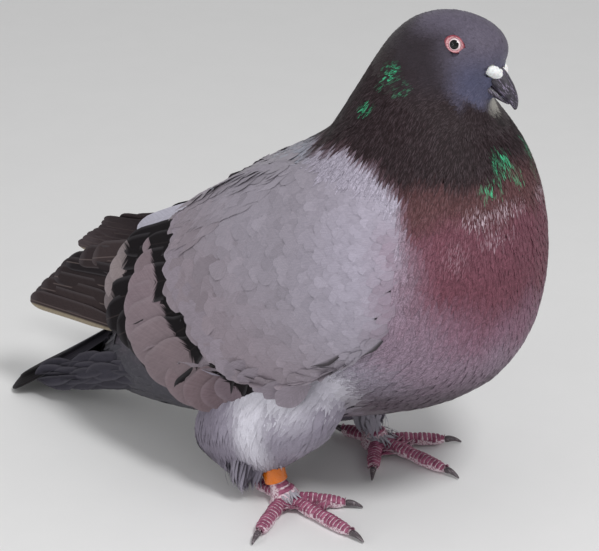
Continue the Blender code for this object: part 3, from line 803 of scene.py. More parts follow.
class Saddle:
    """The upper side of back and folded wings, with the valleys between them bridged."""

    def __init__(self):
        tree = body_form().tree
        self.xs, self.ys = np.linspace(-136.0, 22.0, 54), np.linspace(-56.0, 56.0, 45)
        heights = np.zeros((len(self.xs), len(self.ys)))
        for i, x in enumerate(self.xs):
            hits = [tree.ray_cast(Vector((x, y, 400.0)), Vector((0.0, 0.0, -1.0)))[0] for y in self.ys]
            heights[i] = bridged(self.ys, [hit.z if hit else 0.0 for hit in hits])
        for _ in range(3):
            heights[1:-1] = (heights[:-2] + 2 * heights[1:-1] + heights[2:]) / 4
        self.heights = heights

    def height(self, x, y):
        xs, ys, heights = self.xs, self.ys, self.heights
        i = np.clip((x - xs[0]) / (xs[1] - xs[0]), 0, len(xs) - 1.001)
        j = np.clip((y - ys[0]) / (ys[1] - ys[0]), 0, len(ys) - 1.001)
        a, b = i.astype(int), j.astype(int)
        i, j = i - a, j - b
        return ((heights[a, b] * (1 - i) + heights[a + 1, b] * i) * (1 - j)
                + (heights[a, b + 1] * (1 - i) + heights[a + 1, b + 1] * i) * j)

    def up(self, x, y):
        """The way straight out of the saddle, worked out over 3 mm in x and 4 mm in y."""
        slope_x = (self.height(x + 3, y) - self.height(x - 3, y)) / 6
        slope_y = (self.height(x, y + 4) - self.height(x, y - 4)) / 8
        return unit(np.stack([-slope_x, -slope_y, np.ones(len(x))], axis=1))


def scapular_roots(rng):
    """Rows of roots across the back, as x and y, each row set between those before it."""
    roots = []
    for row, x in enumerate(np.arange(-94.0, -2.0, 4.2)):
        for y in np.arange(-41.0, 42.0, 4.6) + (row % 2) * 2.3:
            roots.append((x + rng.uniform(-1.5, 1.5), y + rng.uniform(-1.2, 1.2)))
    return np.array(roots)


def build_scapulars(finish):
    """The long soft feathers that lie over the back and the upper rims of both wings."""
    saddle, form = Saddle(), body_form()
    rng = np.random.default_rng(61)
    roots = scapular_roots(rng)
    n = len(roots)
    lengths = 21.0 * rng.uniform(0.85, 1.15, n)
    turn = 0.16 * np.sign(roots[:, 1]) * smoothstep(3, 20, np.abs(roots[:, 1])) + rng.normal(0, 0.05, n)
    ways = np.stack([-np.cos(turn), np.sin(turn)], axis=1)
    stretch = smoothstep(-150, 10, roots[:, 0]) * 0.25 + 0.68      # the steeper it is, the shorter from above
    lines, normals = [], []
    for share in (0.0, 0.5, 1.0):
        flat = roots + ways * (lengths * stretch * share)[:, None]
        x, y = flat.T
        above = np.stack([x, y, saddle.height(x, y)], axis=1)
        below, outs = form.nearest(above)
        # far out on the wings they hug the form, where it lies close under the saddle
        hug = smoothstep(4.0, 1.0, np.linalg.norm(above - below, axis=1)) * smoothstep(17, 26, np.abs(y))
        hug = hug[:, None]
        lines.append(above * (1 - hug) + (below + 0.55 * outs) * hug)
        normals.append(unit(saddle.up(x, y) * (1 - hug) + outs * hug))
    # those on steep places, and those that end past the grey shield, are left out
    kept = (normals[1][:, 2] > 0.3) & (on_shield(lines[2], -1.0) | (np.abs(lines[2][:, 1]) < 10))
    lines, normals = np.stack(lines, axis=1)[kept], np.stack(normals, axis=1)[kept][:, (0, 2)]
    n = len(lines)
    tints = markings(lines[:, 2], ["wing"] * n) * (1 + rng.normal(0, 0.05, n))[:, None]
    rises = np.stack([np.full(n, -0.4), 0.15 * rng.random(n)], axis=1)
    vanes = Vanes()
    vanes.lay(vane_grid(4, 8), pointed, lines, sides_of(lines, normals), normals,
              4.6 * rng.uniform(0.85, 1.15, n), lengths[kept], rises, tints, chance=rng.random(n),
              roll=rng.normal(0, 0.03, n), ripple=rng.uniform(0, 6, n), camber=0.05, soft=1.0)
    lay_rim(vanes)
    return vanes.join("scapular_plumage", finish)


def lay_rim(vanes):
    """The longer feathers at the wing's low front rim, whose lower edges are painted dark as the shadow
    under them, so that they stand clear.
    """
    roots = np.array([(70, 62, 134), (60, 66, 128), (50, 68, 122), (38, 70, 113)], dtype=float)
    across, along, faces = vane_grid(4, 8)
    form = body_form()
    for side, _ in SIDES:
        starts = roots * (1, side, 1)
        n = len(starts)
        ways = np.tile(unit(np.array((-0.84, 0.0, -0.54))), (n, 1))
        lengths = np.array((17.0, 19.0, 19.0, 18.0))
        lines, sides, normals = follow(form, starts, ways, lengths)
        # painted shadow: each vane's lower edge darkens to 1f181c, the shade beneath it
        low = smoothstep(0.15, 0.65, across * side)[None, :, None]
        tints = (markings(lines[:, 1], ["wing"] * n)[:, None] * (1 - low)
                 + np.array(linear("1f181c")) * low)
        vanes.lay((across, along, faces), pointed, lines, sides, normals, np.full(n, 3.4), lengths,
                  np.tile((0.1, 1.0), (n, 1)), tints, chance=np.linspace(0.1, 0.9, n), camber=0.0,
                  roll=np.full(n, 0.2 * side), soft=0.6)


# Loose tufts round the legs: how many, where they are rooted and how far that spreads, where
# their tips hang and how far those spread, the middle they face away from, half width, colour.
TUFTS = [
    (170, (-21, -52, 32), (6, 6, 4), (-23, -52, 10), (3.6, 3.5, 2.2), (-9, -40, 24), 2.7, "8d8796"),
    (60, (-10, -51, 38), (8, 3, 4), (-10, -50, 27), (5, 2.5, 1.6), (-10, -42, 28), 1.2, "a9a4b0"),
    (60, (-22, 46, 30), (6, 5, 4), (-16, 46, 13), (4, 4, 2.0), (-4, 42, 22), 2.4, "7a7482"),
    (130, (-1, 42, 24), (5, 6, 3), (3, 42, 10), (4.5, 5.5, 2.0), (0, 43, 18), 1.6, "a39fab"),
    (60, (6, 42, 9), (4, 5, 1.0), (14, 42, 4.5), (6, 8, 1.0), (6, 42, 0), 0.9, "a8a4ae"),
    (40, (-2, -44, 9), (3, 3, 1.0), (6, -46, 5.5), (4, 5, 1.0), (-2, -44, 0), 0.8, "a8a4ae"),
]


def build_tufts(finish):
    """Loose downy tufts where thighs and shanks meet and at the roots of the toes."""
    rng = np.random.default_rng(71)
    vanes = Vanes()
    for count, root, spread, tip, tip_spread, middle, half, tone in TUFTS:
        draws = np.clip(rng.normal(size=(2, count, 3)), -1.6, 1.6)
        roots = np.array(root) + draws[0] * spread
        tips = np.array(tip) + 0.6 * (roots - root) + draws[1] * np.array(tip_spread) * 0.6
        tips[:, 2] = np.maximum(tips[:, 2], 2.5)
        out = unit((roots + tips) / 2 - middle)
        ways = unit(tips - roots)
        out = unit(out - ways * (out * ways).sum(axis=1, keepdims=True))
        lengths = np.linalg.norm(tips - roots, axis=1)
        middles = (roots + tips) / 2 + out * (0.10 * lengths)[:, None]
        lines = np.stack([roots, middles, tips], axis=1)
        sides = unit(np.cross(ways, out))
        tints = np.array(linear(tone)) * (1 + rng.normal(0, 0.06, count))[:, None]
        vanes.lay(vane_grid(2, 6), lancet, lines, at_both_ends(sides), at_both_ends(out),
                  half * rng.uniform(0.7, 1.2, count), lengths, np.zeros((count, 2)),
                  np.clip(tints, 0, 1), chance=rng.random(count), roll=rng.normal(0, 0.06, count),
                  soft=0.8)
    return vanes.join("leg_tufts", finish)


# ---------------------------------------------------------------- finishes

class Finish:
    """A material under construction: its shader, and a short way to add nodes before it."""

    def __init__(self, name, **values):
        self.material = bpy.data.materials.new(name)
        self.material.use_nodes = True
        self.tree = self.material.node_tree
        self.shader = self.tree.nodes["Principled BSDF"]
        for socket, value in values.items():
            self.shader.inputs[socket.replace("_", " ")].default_value = value

    def node(self, kind, inputs, **settings):
        """A node's outputs. inputs holds what feeds it, by the name or number of the socket: an
        output, a number or a colour of six hexadecimal digits."""
        node = self.tree.nodes.new("ShaderNode" + kind)
        for key, value in settings.items():
            setattr(node, key, value)
        for socket, value in inputs.items():
            if isinstance(value, bpy.types.NodeSocket):
                self.tree.links.new(value, node.inputs[socket])
            elif value is not None:
                is_colour = isinstance(value, str)
                node.inputs[socket].default_value = (*linear(value), 1.0) if is_colour else value
        return node.outputs

    def add(self, kind, *inputs, out=0, **settings):
        return self.node(kind, dict(enumerate(inputs)), **settings)[out]

    def math(self, operation, a, b=None):
        return self.add("Math", a, b, operation=operation)

    def plus(self, a, b):
        return self.math("ADD", a, b)

    def minus(self, a, b):
        return self.math("SUBTRACT", a, b)

    def times(self, a, b):
        return self.math("MULTIPLY", a, b)

    def ramp(self, value, low, high, start=0.0, end=1.0, kind="SMOOTHSTEP"):
        return self.add("MapRange", value, low, high, start, end, interpolation_type=kind)

    def mix(self, share, under, over, kind="MIX"):
        return self.node("Mix", {0: share, 6: under, 7: over}, data_type="RGBA", blend_type=kind)[2]

    def shaded(self, colour, tone):
        return self.mix(1.0, colour, self.add("CombineXYZ", tone, tone, tone), "MULTIPLY")

    def noise(self, place, scale, detail=3.0, rough=0.55):
        inputs = {"Vector": place, "Scale": scale, "Detail": detail, "Roughness": rough}
        return self.node("TexNoise", inputs)["Fac"]

    def spots(self, place, scale):
        return self.node("TexVoronoi", {"Vector": place, "Scale": scale})["Distance"]

    def place(self):
        return self.add("TexCoord", out=3)

    def attribute(self, name, out=0):
        return self.add("Attribute", attribute_name=name, attribute_type="GEOMETRY", out=out)

    def colours(self, value):
        return self.node("SeparateColor", {0: value})

    def axes(self, value):
        return self.node("SeparateXYZ", {0: value})

    def bump(self, height, strength, distance):
        return self.node("Bump", {"Strength": strength, "Distance": distance, "Height": height})[0]

    def end(self, colour, normal=None, roughness=None):
        for socket, value in (("Base Color", colour), ("Normal", normal), ("Roughness", roughness)):
            if value is not None:
                self.tree.links.new(value, self.shader.inputs[socket])
        return self.material


def plumage(name, roughness, barb, streak, rim, root, specular=0.3, sheen=0.0):
    """Vanes with fine barbs. barb is the barbs' spacing in mm, streak how much single hairs
    differ, rim how much paler the edge is, and root how dark the vane starts, a painted shade
    where the vanes over it cover its root."""
    made = Finish(name, Roughness=roughness, Specular_IOR_Level=specular, Sheen_Weight=sheen,
                  Sheen_Roughness=0.5)
    tint = made.attribute("Tint")
    edge, along, chance = made.colours(made.attribute("Shape"))[:3]
    quill = made.attribute("Shape", out=3)
    vane = made.add("UVMap", uv_map="Vane")
    reach, run, _ = made.axes(vane)
    off = made.math("ABSOLUTE", reach)
    slanted = made.plus(run, made.times(off, -0.9))
    shift = made.times(chance, 40.0)
    hair = made.noise(made.add("CombineXYZ", made.times(reach, 2.6),
                               made.times(run, 0.22), shift), 1.0, 2.0)
    # the barbs run out and back from the shaft, and part here and there
    barbed = made.noise(made.add("CombineXYZ", made.times(slanted, 1 / barb),
                                 made.times(off, 0.12), shift), 0.55, 3.0)
    phase = made.plus(slanted, made.times(hair, 0.5 * barb))
    barbs = made.math("SINE", made.times(phase, 2 * math.pi / barb))
    # black bars across the vane, with a ragged edge that follows the barbs
    bars = made.colours(made.attribute("Bars"))
    ragged = made.plus(along, made.times(made.minus(barbed, 0.5), 0.22))
    ragged = made.plus(ragged, made.times(edge, -0.06))
    into = made.ramp(made.minus(ragged, bars[0]), -0.02, 0.03)
    out_of = made.ramp(made.minus(bars[1], ragged), -0.02, 0.03)
    dark = made.times(into, out_of)
    colour = made.mix(dark, tint, "100b0f")
    buff = made.times(bars[2], made.ramp(reach, -1.0, -2.4))
    colour = made.mix(buff, colour, "8d8270")
    strand = made.times(made.ramp(hair, 0.25, 0.75, 1 - streak, 1 + streak, "LINEAR"),
                       made.ramp(barbed, 0.25, 0.75, 1 - streak, 1 + streak, "LINEAR"))
    # painted shade: each vane darkens towards its root, where the vanes over it lie; strand is the hairs' own
    # tone
    shade = made.times(strand, made.ramp(along, 0.0, 0.55, root, 1.0))
    colour = made.shaded(colour, shade)
    # painted sheen and highlights: single barbs that catch the light, green or rosy, painted into the colour
    glint = made.times(made.attribute("Tint", out=3), made.ramp(hair, 0.48, 0.55))
    colour = made.mix(glint, colour, "38c990")
    # painted highlight: pale rosy barbs
    rosy = made.times(made.attribute("Bars", out=3), made.ramp(hair, 0.50, 0.62, 0.0, 0.85))
    colour = made.mix(rosy, colour, "cbb8c3")
    outer = made.math("MAXIMUM", made.ramp(edge, 0.72, 1.0), made.ramp(along, 0.9, 1.0))
    pale = made.times(outer, rim)
    colour = made.mix(pale, colour, "d8d4dc")
    shaft = made.times(made.ramp(off, 0.45, 0.2), quill)
    colour = made.mix(shaft, colour, "6c605e")
    height = made.plus(barbs, made.times(hair, 2.0))
    height = made.plus(height, made.times(shaft, 4.0))
    return made.end(colour, made.bump(height, 0.25, 0.00010))


def skin_finish():
    made = Finish("down_and_skin", Roughness=0.9, Specular_IOR_Level=0.1, Sheen_Weight=0.3)
    fluff = made.noise(made.place(), 900.0, 4.0)
    tone = made.ramp(fluff, 0.3, 0.7, 0.75, 1.0, "LINEAR")
    return made.end(made.shaded(made.attribute("Tint"), tone), made.bump(fluff, 0.6, 0.0004))


# ---------------------------------------------------------------- folded wings and tail

LEFT_LIFT = 20.0            # the left wing's tip is held this much higher
LIFT_FROM, LIFT_TO = -80.0, -205.0

# Lines over the folded wing as x, z, from the top down: where the small coverts end, where the
# front black bar ends on the greater coverts, and where the rear bar ends on the tertials.
SHIELD_REAR = [(-97, 158), (-91, 149), (-84, 143), (-83, 138), (-86, 130), (-81, 124), (-72, 119),
               (-65, 116), (-57, 111), (-49, 104), (-37, 96), (-20, 87), (-4, 83), (12, 80)]
FRONT_BAR_REAR = [(-106, 142), (-101, 131), (-98, 128), (-94, 125), (-85, 117), (-79, 111), (-72, 104),
                  (-65, 99), (-57, 95), (-50, 92), (-38, 88), (-22, 82), (-8, 76)]
REAR_BAR_REAR = [(-126, 132), (-124, 124), (-119, 117), (-119, 107), (-124, 95)]

# Key vanes of the folded wing, top one first: x, z of its tip, the way it points, half width,
# length, tint, and how far its root and its tip stand off the wing.
PRIMARIES = (9, [
    ((-152, 109), (-0.94, -0.34), 7.5, 60, "3a3031", (-2.0, -1.3)),
    ((-174, 101), (-0.97, -0.20), 6.5, 70, "1b1619", (-2.3, -1.5)),
    ((-181, 90), (-0.98, -0.20), 6.5, 76, "2b2325", (-2.5, -1.8)),
    ((-191, 80), (-0.985, -0.17), 6.3, 84, "2f2627", (-2.7, -2.0)),
    ((-199, 70), (-0.99, -0.14), 5.8, 92, "352b2c", (-2.9, -2.2)),
])
SECONDARIES = (11, [
    ((-127, 123), (-0.88, -0.47), 9.5, 60, "7d7476", (-1.5, -0.6)),
    ((-133, 112), (-0.90, -0.43), 10.5, 60, "8a7f80", (-1.6, -0.7)),
    ((-134, 98), (-0.90, -0.43), 11.5, 58, "877c7e", (-1.7, -0.8)),
    ((-126, 84), (-0.85, -0.52), 12.0, 56, "231d20", (-1.8, -0.9)),
    ((-106, 75), (-0.80, -0.60), 12.5, 52, "231d20", (-1.9, -1.1)),
    ((-86, 62), (-0.74, -0.67), 12.5, 50, "231d20", (-2.0, -1.3)),
    ((-60, 56), (-0.70, -0.71), 11.0, 46, "2c2427", (-2.1, -1.5)),
])
GREATER_COVERTS = (11, [
    ((-107, 129), (-0.90, -0.43), 8.0, 50, "7b6d73", (-0.9, 0.0)),
    ((-109, 113), (-0.90, -0.44), 10.5, 50, "7d6f75", (-0.9, 0.1)),
    ((-109, 97), (-0.87, -0.50), 13.0, 50, "82737a", (-0.9, 0.2)),
    ((-102, 81), (-0.80, -0.60), 15.0, 50, "817379", (-0.9, 0.3)),
    ((-85, 65), (-0.72, -0.69), 15.0, 50, "7f7176", (-1.0, 0.3)),
    ((-62, 58), (-0.68, -0.73), 13.5, 48, "78696e", (-1.1, 0.2)),
    ((-42, 60), (-0.68, -0.73), 11.0, 42, "68585d", (-1.2, 0.0)),
    ((-27, 72), (-0.72, -0.69), 9.5, 36, "74666e", (-1.3, -0.1)),
])


def crossing(tip, way, length, line):
    """How far along a vane, as a share, its axis passes a line over the wing."""
    share = np.linspace(0.0, 1.0, 120)
    x = tip[0] - way[0] * length * (1 - share)
    z = tip[1] - way[1] * length * (1 - share)
    beyond = x < line_x(line, z)
    return float(share[np.argmax(beyond)]) if beyond.any() else 1.3


def fan(count, keys):
    """Vanes between the key ones, from the first to the last: tip, way, half width, length,
    tint, and height at root and tip, as columns of numbers."""
    table = np.array([(*tip, *way, half, length, *linear(tint), *rise)
                      for tip, way, half, length, tint, rise in keys], dtype=float)
    place = np.linspace(0, len(keys) - 1, count)
    return np.stack([np.interp(place, np.arange(len(keys)), column) for column in table.T], axis=1)


def shield_edge(count):
    """The last row of the small coverts, whose tips make the rear edge of the grey shield."""
    line = np.array(SHIELD_REAR, dtype=float)
    run = np.concatenate([[0], np.cumsum(np.linalg.norm(np.diff(line, axis=0), axis=1))])
    place = np.linspace(14.0, run[-1], count)
    rows = np.zeros((count, 11))
    rows[:, 0] = np.interp(place, run, line[:, 0])
    rows[:, 1] = np.interp(place, run, line[:, 1])
    down = np.linspace(0, 1, count)
    rows[:, 2:4] = unit(np.stack([-0.92 + 0.17 * down, -0.4 - 0.26 * down], axis=1))
    rows[:, 4] = 7.5
    rows[:, 5] = 24.0
    rows[:, 6:9] = linear("8c838d")
    rows[:, 9:11] = (-0.5, 0.45)
    return rows


def on_wing(side, x, z):
    """The place on the folded wing's outer face at that x and height, and its normal."""
    form = wing_form(side)
    share = np.clip((LIFT_FROM - x) / (LIFT_FROM - LIFT_TO), 0, 1.2)
    z = z + (LEFT_LIFT * share ** 2 if side > 0 else 0.0)
    hit = form.tree.ray_cast(Vector((x, side * 200.0, z)), Vector((0.0, -side, 0.0)))
    if hit[0] is not None:
        place, normals = form.nearest([hit[0]])
        return np.array(hit[0]), normals[0]
    place, normals = form.nearest([(x, side * 60.0, z)])
    if x > -112 and place[0][2] < z:        # over the wing's upper rim it bends inwards
        return place[0], normals[0]
    outwards = unit(normals[0] * (0.3, 1, 0.3) + np.array((0, side, 0)))
    return np.array((x, place[0][1], z)), outwards


def lay_quills(vanes, side, rows, seed, outline=blade, drop=0.0, bar_line=None, buff=0.0, **looks):
    """Lays large feathers on a folded wing, the last row given first and so lowest. bar_line is
    where a black bar from their roots ends, and buff how far each one's outer edge is buff."""
    rng = np.random.default_rng(seed)
    lines, sides, normals = [], [], []
    for row in rows:
        tip, root = row[0:2], row[0:2] - row[2:4] * row[5]
        ends = [on_wing(side, *(root * (1 - t) + tip * t)) for t in (0.0, 0.5, 1.0)]
        line = np.array([place for place, _ in ends])
        lines.append(line)
        normals.append((ends[0][1], ends[2][1]))
        sides.append(unit(np.cross(unit(line[2] - line[0]), normals[-1])) * -side)
    n = len(rows)
    lines, sides, normals = np.array(lines), np.array(sides), np.array(normals)
    bars = np.tile(np.array(NO_BARS), (n, 1))
    if bar_line:
        bars[:, 0] = -1.0
        bars[:, 1] = [crossing(row[0:2], row[2:4], row[5], bar_line) for row in rows]
    bars[:, 2] = buff
    across, along, faces = vane_grid(6, 14)
    pattern = (across, along, faces if side < 0 else faces[:, ::-1])
    tints = rows[:, 6:9] * (1 + rng.normal(0, 0.04, n))[:, None]
    vanes.lay(pattern, outline, lines, sides, normals, rows[:, 4] * rng.uniform(0.95, 1.05, n),
              spans(lines), rows[:, 9:11] + drop, tints, chance=rng.random(n), bars=bars,
              roll=0.02 + rng.normal(0, 0.012, n), ripple=rng.uniform(0, 6, n), **looks)


def build_wing_quills(side, word, finish):
    vanes = Vanes()
    seed = 40 + side
    primaries = fan(*PRIMARIES)
    # painted light: the left wing's primaries are lighter than the right's, as lit from above
    if side > 0:
        primaries[:, 6:9] = primaries[:, 6:9] * 0.4 + np.array(linear("5b4f52")) * 0.6
    buff = (np.arange(len(primaries)) == len(primaries) - 1)[::-1] * 1.0
    lay_quills(vanes, side, primaries[::-1], seed, quill=0.5, lean=0.3, camber=0.03, buff=buff, drop=-1.9)
    lay_quills(vanes, side, fan(*SECONDARIES)[::-1], seed + 10, broad, quill=0.15, camber=0.04, drop=-1.6,
               bar_line=REAR_BAR_REAR)
    lay_quills(vanes, side, fan(*GREATER_COVERTS)[::-1], seed + 20, broad, quill=0.06, camber=0.05,
               drop=(-0.7, 0.4), bar_line=FRONT_BAR_REAR)
    lay_quills(vanes, side, shield_edge(17)[::-1], seed + 30, rounded, quill=0.0, camber=0.08, soft=0.6)
    if side > 0:
        lay_inner(vanes, side)
    return vanes.join("flight_feathers_" + word, finish)


# Root, middle and tip of the pale innermost feathers
INNERMOST = [
    ((-82, 22, 144), (-113, 13, 132.5), (-141, 9, 117.5)),
    ((-80, 26, 141), (-108, 18, 130), (-132, 14, 118.5)),
]


def lay_inner(vanes, side):
    """The pale innermost feathers, which lie over the wing's top edge towards the tail."""
    lines = np.array(INNERMOST, dtype=float) * (1, side, 1)
    n = len(lines)
    ways = unit(lines[:, 2] - lines[:, 0])
    ups = unit(np.tile(np.array((0.3, -0.35 * side, 0.85)), (n, 1)))
    ups = unit(ups - ways * (ups * ways).sum(axis=1, keepdims=True))
    sides = unit(np.cross(ways, ups))
    vanes.lay(vane_grid(4, 10), blade, lines, at_both_ends(sides), at_both_ends(ups),
              np.full(n, 7.0), spans(lines), np.tile((0.0, 0.3), (n, 1)),
              np.tile(np.array(linear("b3b1be")), (n, 1)), chance=np.linspace(0.2, 0.8, n),
              camber=0.08, quill=0.1)


def tail_form():
    return once("tail", lambda: Form(closed_over(("tail",), 1.5, 2)))


def build_tail(finish):
    """Twelve feathers of the closed tail, the middle pair on top, and the coverts beneath."""
    form = tail_form()
    vanes = Vanes()
    lines, sides, normals, heights, halves = [], [], [], [], []
    for out in sorted(np.arange(12) - 5.5, key=lambda out: -abs(out)):
        line = []
        for x, y in ((-128.0, 1.1 * out), (-180.0, 2.0 * out), (-224.0 + 0.5 * abs(out), 2.9 * out)):
            hit = form.tree.ray_cast(Vector((x, y, 150.0)), Vector((0.0, 0.0, -1.0)))
            line.append(np.array(hit[0]) if hit[0] is not None else np.array((x, y, 2.5)))
        line = np.array(line)
        line[2, 2] = max(line[2, 2], 2.4 - 0.15 * abs(out))
        lines.append(line)
        way = unit(line[2] - line[0])
        up = unit(np.cross(np.cross(way, (0.0, 0.0, 1.0)), way) + np.array((0, 0.03 * out, 0)))
        normals.append((up, up))
        sides.append((unit(np.cross(way, up)),) * 2)
        level = -0.3 * abs(out) - 0.1
        heights.append((level, level * 0.4 - 0.1))
        halves.append(12.5 if abs(out) < 1 else 11.0)
    lines = np.array(lines)
    n = len(lines)
    vanes.lay(vane_grid(6, 14), blade, lines, np.array(sides), np.array(normals), np.array(halves),
              spans(lines), np.array(heights), np.tile(np.array(linear("3a3742")), (n, 1)),
              chance=np.random.default_rng(9).random(n), quill=0.4, camber=0.015,
              bars=np.tile(np.array([0.60, 0.97, 0.0, 0.0]), (n, 1)))
    lay_undertail(vanes)
    return vanes.join("tail_feathers", finish)


# The soft form under the tail as x, height of its middle, half width, and depth below the middle
UNDERTAIL = [(-60, 62, 42, 33), (-107, 54, 35, 27), (-150, 36, 27, 20), (-180, 22, 22, 13.5),
             (-205, 12, 17, 8)]


def lay_undertail(vanes):
    """The long soft coverts that run from the belly to beneath the tail."""
    rng = np.random.default_rng(12)
    table = np.array(UNDERTAIL, dtype=float)[::-1]
    lines, normals = [], []
    rows, around = 7, 13
    for row in range(rows):
        start = -162.0 + 16.0 * row
        reach = 40.0 + row
        for i in range(around):
            turn = math.radians(-104 + 208 * (i + 0.5 * (row % 2) + 0.25) / around) + rng.normal(0, 0.03)
            line, outs = [], []
            for x in (start, start - reach / 2, start - reach):
                middle, half, depth = (np.interp(x, table[:, 0], table[:, k]) for k in (1, 2, 3))
                line.append((x + rng.uniform(-1, 1), half * math.sin(turn), middle - depth * math.cos(turn)))
                outs.append((-0.15, math.sin(turn) / half, -math.cos(turn) / depth))
            lines.append(line)
            normals.append(unit(np.array(outs) * (1, 20, 20))[[0, 2]])
    lines, normals = np.array(lines), np.array(normals)
    lines[..., 2] = np.maximum(lines[..., 2], 2.0)
    n = len(lines)
    tints = np.array(linear(PALETTE["undertail"])) * (1 + rng.normal(0, 0.06, n))[:, None]
    vanes.lay(vane_grid(4, 8), rounded, lines, sides_of(lines, normals), normals,
              8.5 * rng.uniform(0.85, 1.15, n), spans(lines), np.tile((-1.4, 0.1), (n, 1)), tints,
              chance=rng.random(n), camber=0.06, ripple=rng.uniform(0, 6, n),
              roll=rng.normal(0, 0.02, n), soft=0.95)


# ---------------------------------------------------------------- skin

def coat_depth(points, regions):
    """How thick the plumage is over the skin at each place."""
    head = smoothstep(246, 270, points[:, 2]) * smoothstep(20, 50, points[:, 0])
    depth = np.full(len(points), 3.2)
    depth = depth * (1 - head) + 1.3 * head
    return np.where(np.asarray(regions) == "wing", 2.6, depth)


def build_skin(finish):
    """One skin under the whole coat, from the forehead to the root of the tail."""
    form = body_form()
    names, _ = owners()
    at_vert = [form.tree.find_nearest(Vector(point))[2] for point in form.points]
    regions = np.array([region_of(name) for name in names])[at_vert]
    points = form.points - form.normals * coat_depth(form.points, regions)[:, None]
    mesh = form.mesh.copy()
    mesh.name = "skin"
    mesh.vertices.foreach_set("co", to_frame(points).ravel())
    tints = np.ones((len(points), 4))
    tints[:, :3] = markings(form.points, regions)
    mesh.attributes.new("Tint", "FLOAT_COLOR", "POINT").data.foreach_set("color", tints.ravel())
    mesh.update()
    mesh.shade_smooth()
    return shown("skin", mesh, finish, FLESH)


# ---------------------------------------------------------------- the head's bare parts

def refined(name, levels, swell=0.0, shape=None):
    """A fine, smooth copy of a solid; shape moves its vertices once they are fine."""
    bm = welded(name, swell * MM)
    mesh = bpy.data.meshes.new(name)
    bm.to_mesh(mesh)
    bm.free()
    fine = evaluated(mesh, ("SUBSURF", {"levels": levels, "render_levels": levels}))
    if shape:
        bm = bmesh.new()
        bm.from_mesh(fine)
        bm.normal_update()
        points = from_frame([vert.co for vert in bm.verts])
        rises = shape(points)
        for vert, rise in zip(bm.verts, rises):
            vert.co += vert.normal * float(rise) * MM
        bm.to_mesh(fine)
        bm.free()
    fine.shade_smooth()
    return fine


def looking(side):
    """Turns the eye's own measure, with its look up its Z, into the bird's measure on that side."""
    look = Vector((EYE_LOOK[0], side * EYE_LOOK[1], EYE_LOOK[2])).normalized()
    turn = look.to_track_quat("Z", "Y").to_matrix().to_4x4()
    return Matrix.Translation((EYE_CENTRE[0], side * EYE_CENTRE[1], EYE_CENTRE[2])) @ turn


def placed(bm, name, matrix):
    """Ends a bmesh in millimetres as a smooth mesh in the frame, turned and moved by matrix."""
    bmesh.ops.transform(bm, matrix=matrix, verts=bm.verts)
    bmesh.ops.recalc_face_normals(bm, faces=bm.faces)
    for vert in bm.verts:
        vert.co = to_frame(vert.co)
    mesh = bpy.data.meshes.new(name)
    bm.to_mesh(mesh)
    bm.free()
    mesh.shade_smooth()
    return mesh


def turned(profile, steps):
    """A profile of radius and height turned once round the Z axis."""
    bm = bmesh.new()
    verts = [bm.verts.new((radius, 0.0, height)) for radius, height in profile]
    edges = [bm.edges.new(pair) for pair in zip(verts, verts[1:])]
    if profile[0] == profile[-1]:
        bmesh.ops.remove_doubles(bm, verts=bm.verts, dist=0.0001)
        edges = bm.edges[:]
    bmesh.ops.spin(bm, geom=bm.verts[:] + edges, cent=(0, 0, 0), axis=(0, 0, 1),
                   angle=2 * math.pi, steps=steps, use_merge=True)
    bmesh.ops.remove_doubles(bm, verts=bm.verts, dist=0.0001)
    return bm


def build_eye(side, word, finish):
    bm = bmesh.new()
    bmesh.ops.create_uvsphere(bm, u_segments=48, v_segments=32, radius=1.0)
    gaze = bm.loops.layers.uv.new("Gaze")
    for vert in bm.verts:
        out = math.hypot(vert.co.x, vert.co.y) * EYE_RADII[0]
        bulge = 0.3 * max(0.0, 1 - (out / 2.9) ** 2) ** 1.5 if vert.co.z > 0 else 0.0
        vert.co = (vert.co.x * EYE_RADII[0], vert.co.y * EYE_RADII[0], vert.co.z * EYE_RADII[1] + bulge)
    for face in bm.faces:
        for loop in face.loops:
            front = 1.0 if loop.vert.co.z > 0 else 3.0
            loop[gaze].uv = (loop.vert.co.x * front, loop.vert.co.y * front)
    mesh = placed(bm, "eye_" + word, looking(side))
    return shown("eye_%s_ball" % word, mesh, finish, ("eye_" + word,))


def lid_reach(turn, size):
    """How far the bare ring reaches from the eye's middle, long to the front and the rear."""
    half = size / MM / 2
    oval = 1 / np.sqrt((np.cos(turn) / half) ** 2 + (np.sin(turn) / (0.76 * half)) ** 2)
    return oval * (1 + 0.04 * np.abs(np.cos(turn)) ** 12)


def build_lid(side, word, finish, size):
    """The ring of bare, wrinkled skin round the eye."""
    bm = turned(LID_PROFILE, 144)
    widest = max(radius for radius, _ in LID_PROFILE)
    ring = bm.loops.layers.uv.new("Ring")
    for face in bm.faces:
        for loop in face.loops:
            x, y, _ = loop.vert.co
            loop[ring].uv = ((math.hypot(x, y) - LID_HOLE) / (widest - LID_HOLE), 0.0)
    for vert in bm.verts:
        out = math.hypot(vert.co.x, vert.co.y)
        share = (out - LID_HOLE) / (widest - LID_HOLE)
        turn = math.atan2(vert.co.y, vert.co.x)
        reach = lid_reach(turn - side * math.radians(LID_TILT), size)
        drawn = (LID_HOLE + share * (reach - LID_HOLE)) / out
        wrinkle = (0.05 * math.sin(turn * 31) + 0.06 * math.sin(turn * 17 + out * 4)
                   + 0.05 * math.sin(turn * 47 + out * 7))
        vert.co.x *= drawn
        vert.co.y *= drawn
        vert.co.z += wrinkle * share + 0.05 * math.sin(out * 9 + 0.3 * math.sin(turn * 9))
    mesh = placed(bm, "lid_" + word, looking(side))
    return shown("eyelid_%s_skin" % word, mesh, finish, ("eyelid_" + word,))


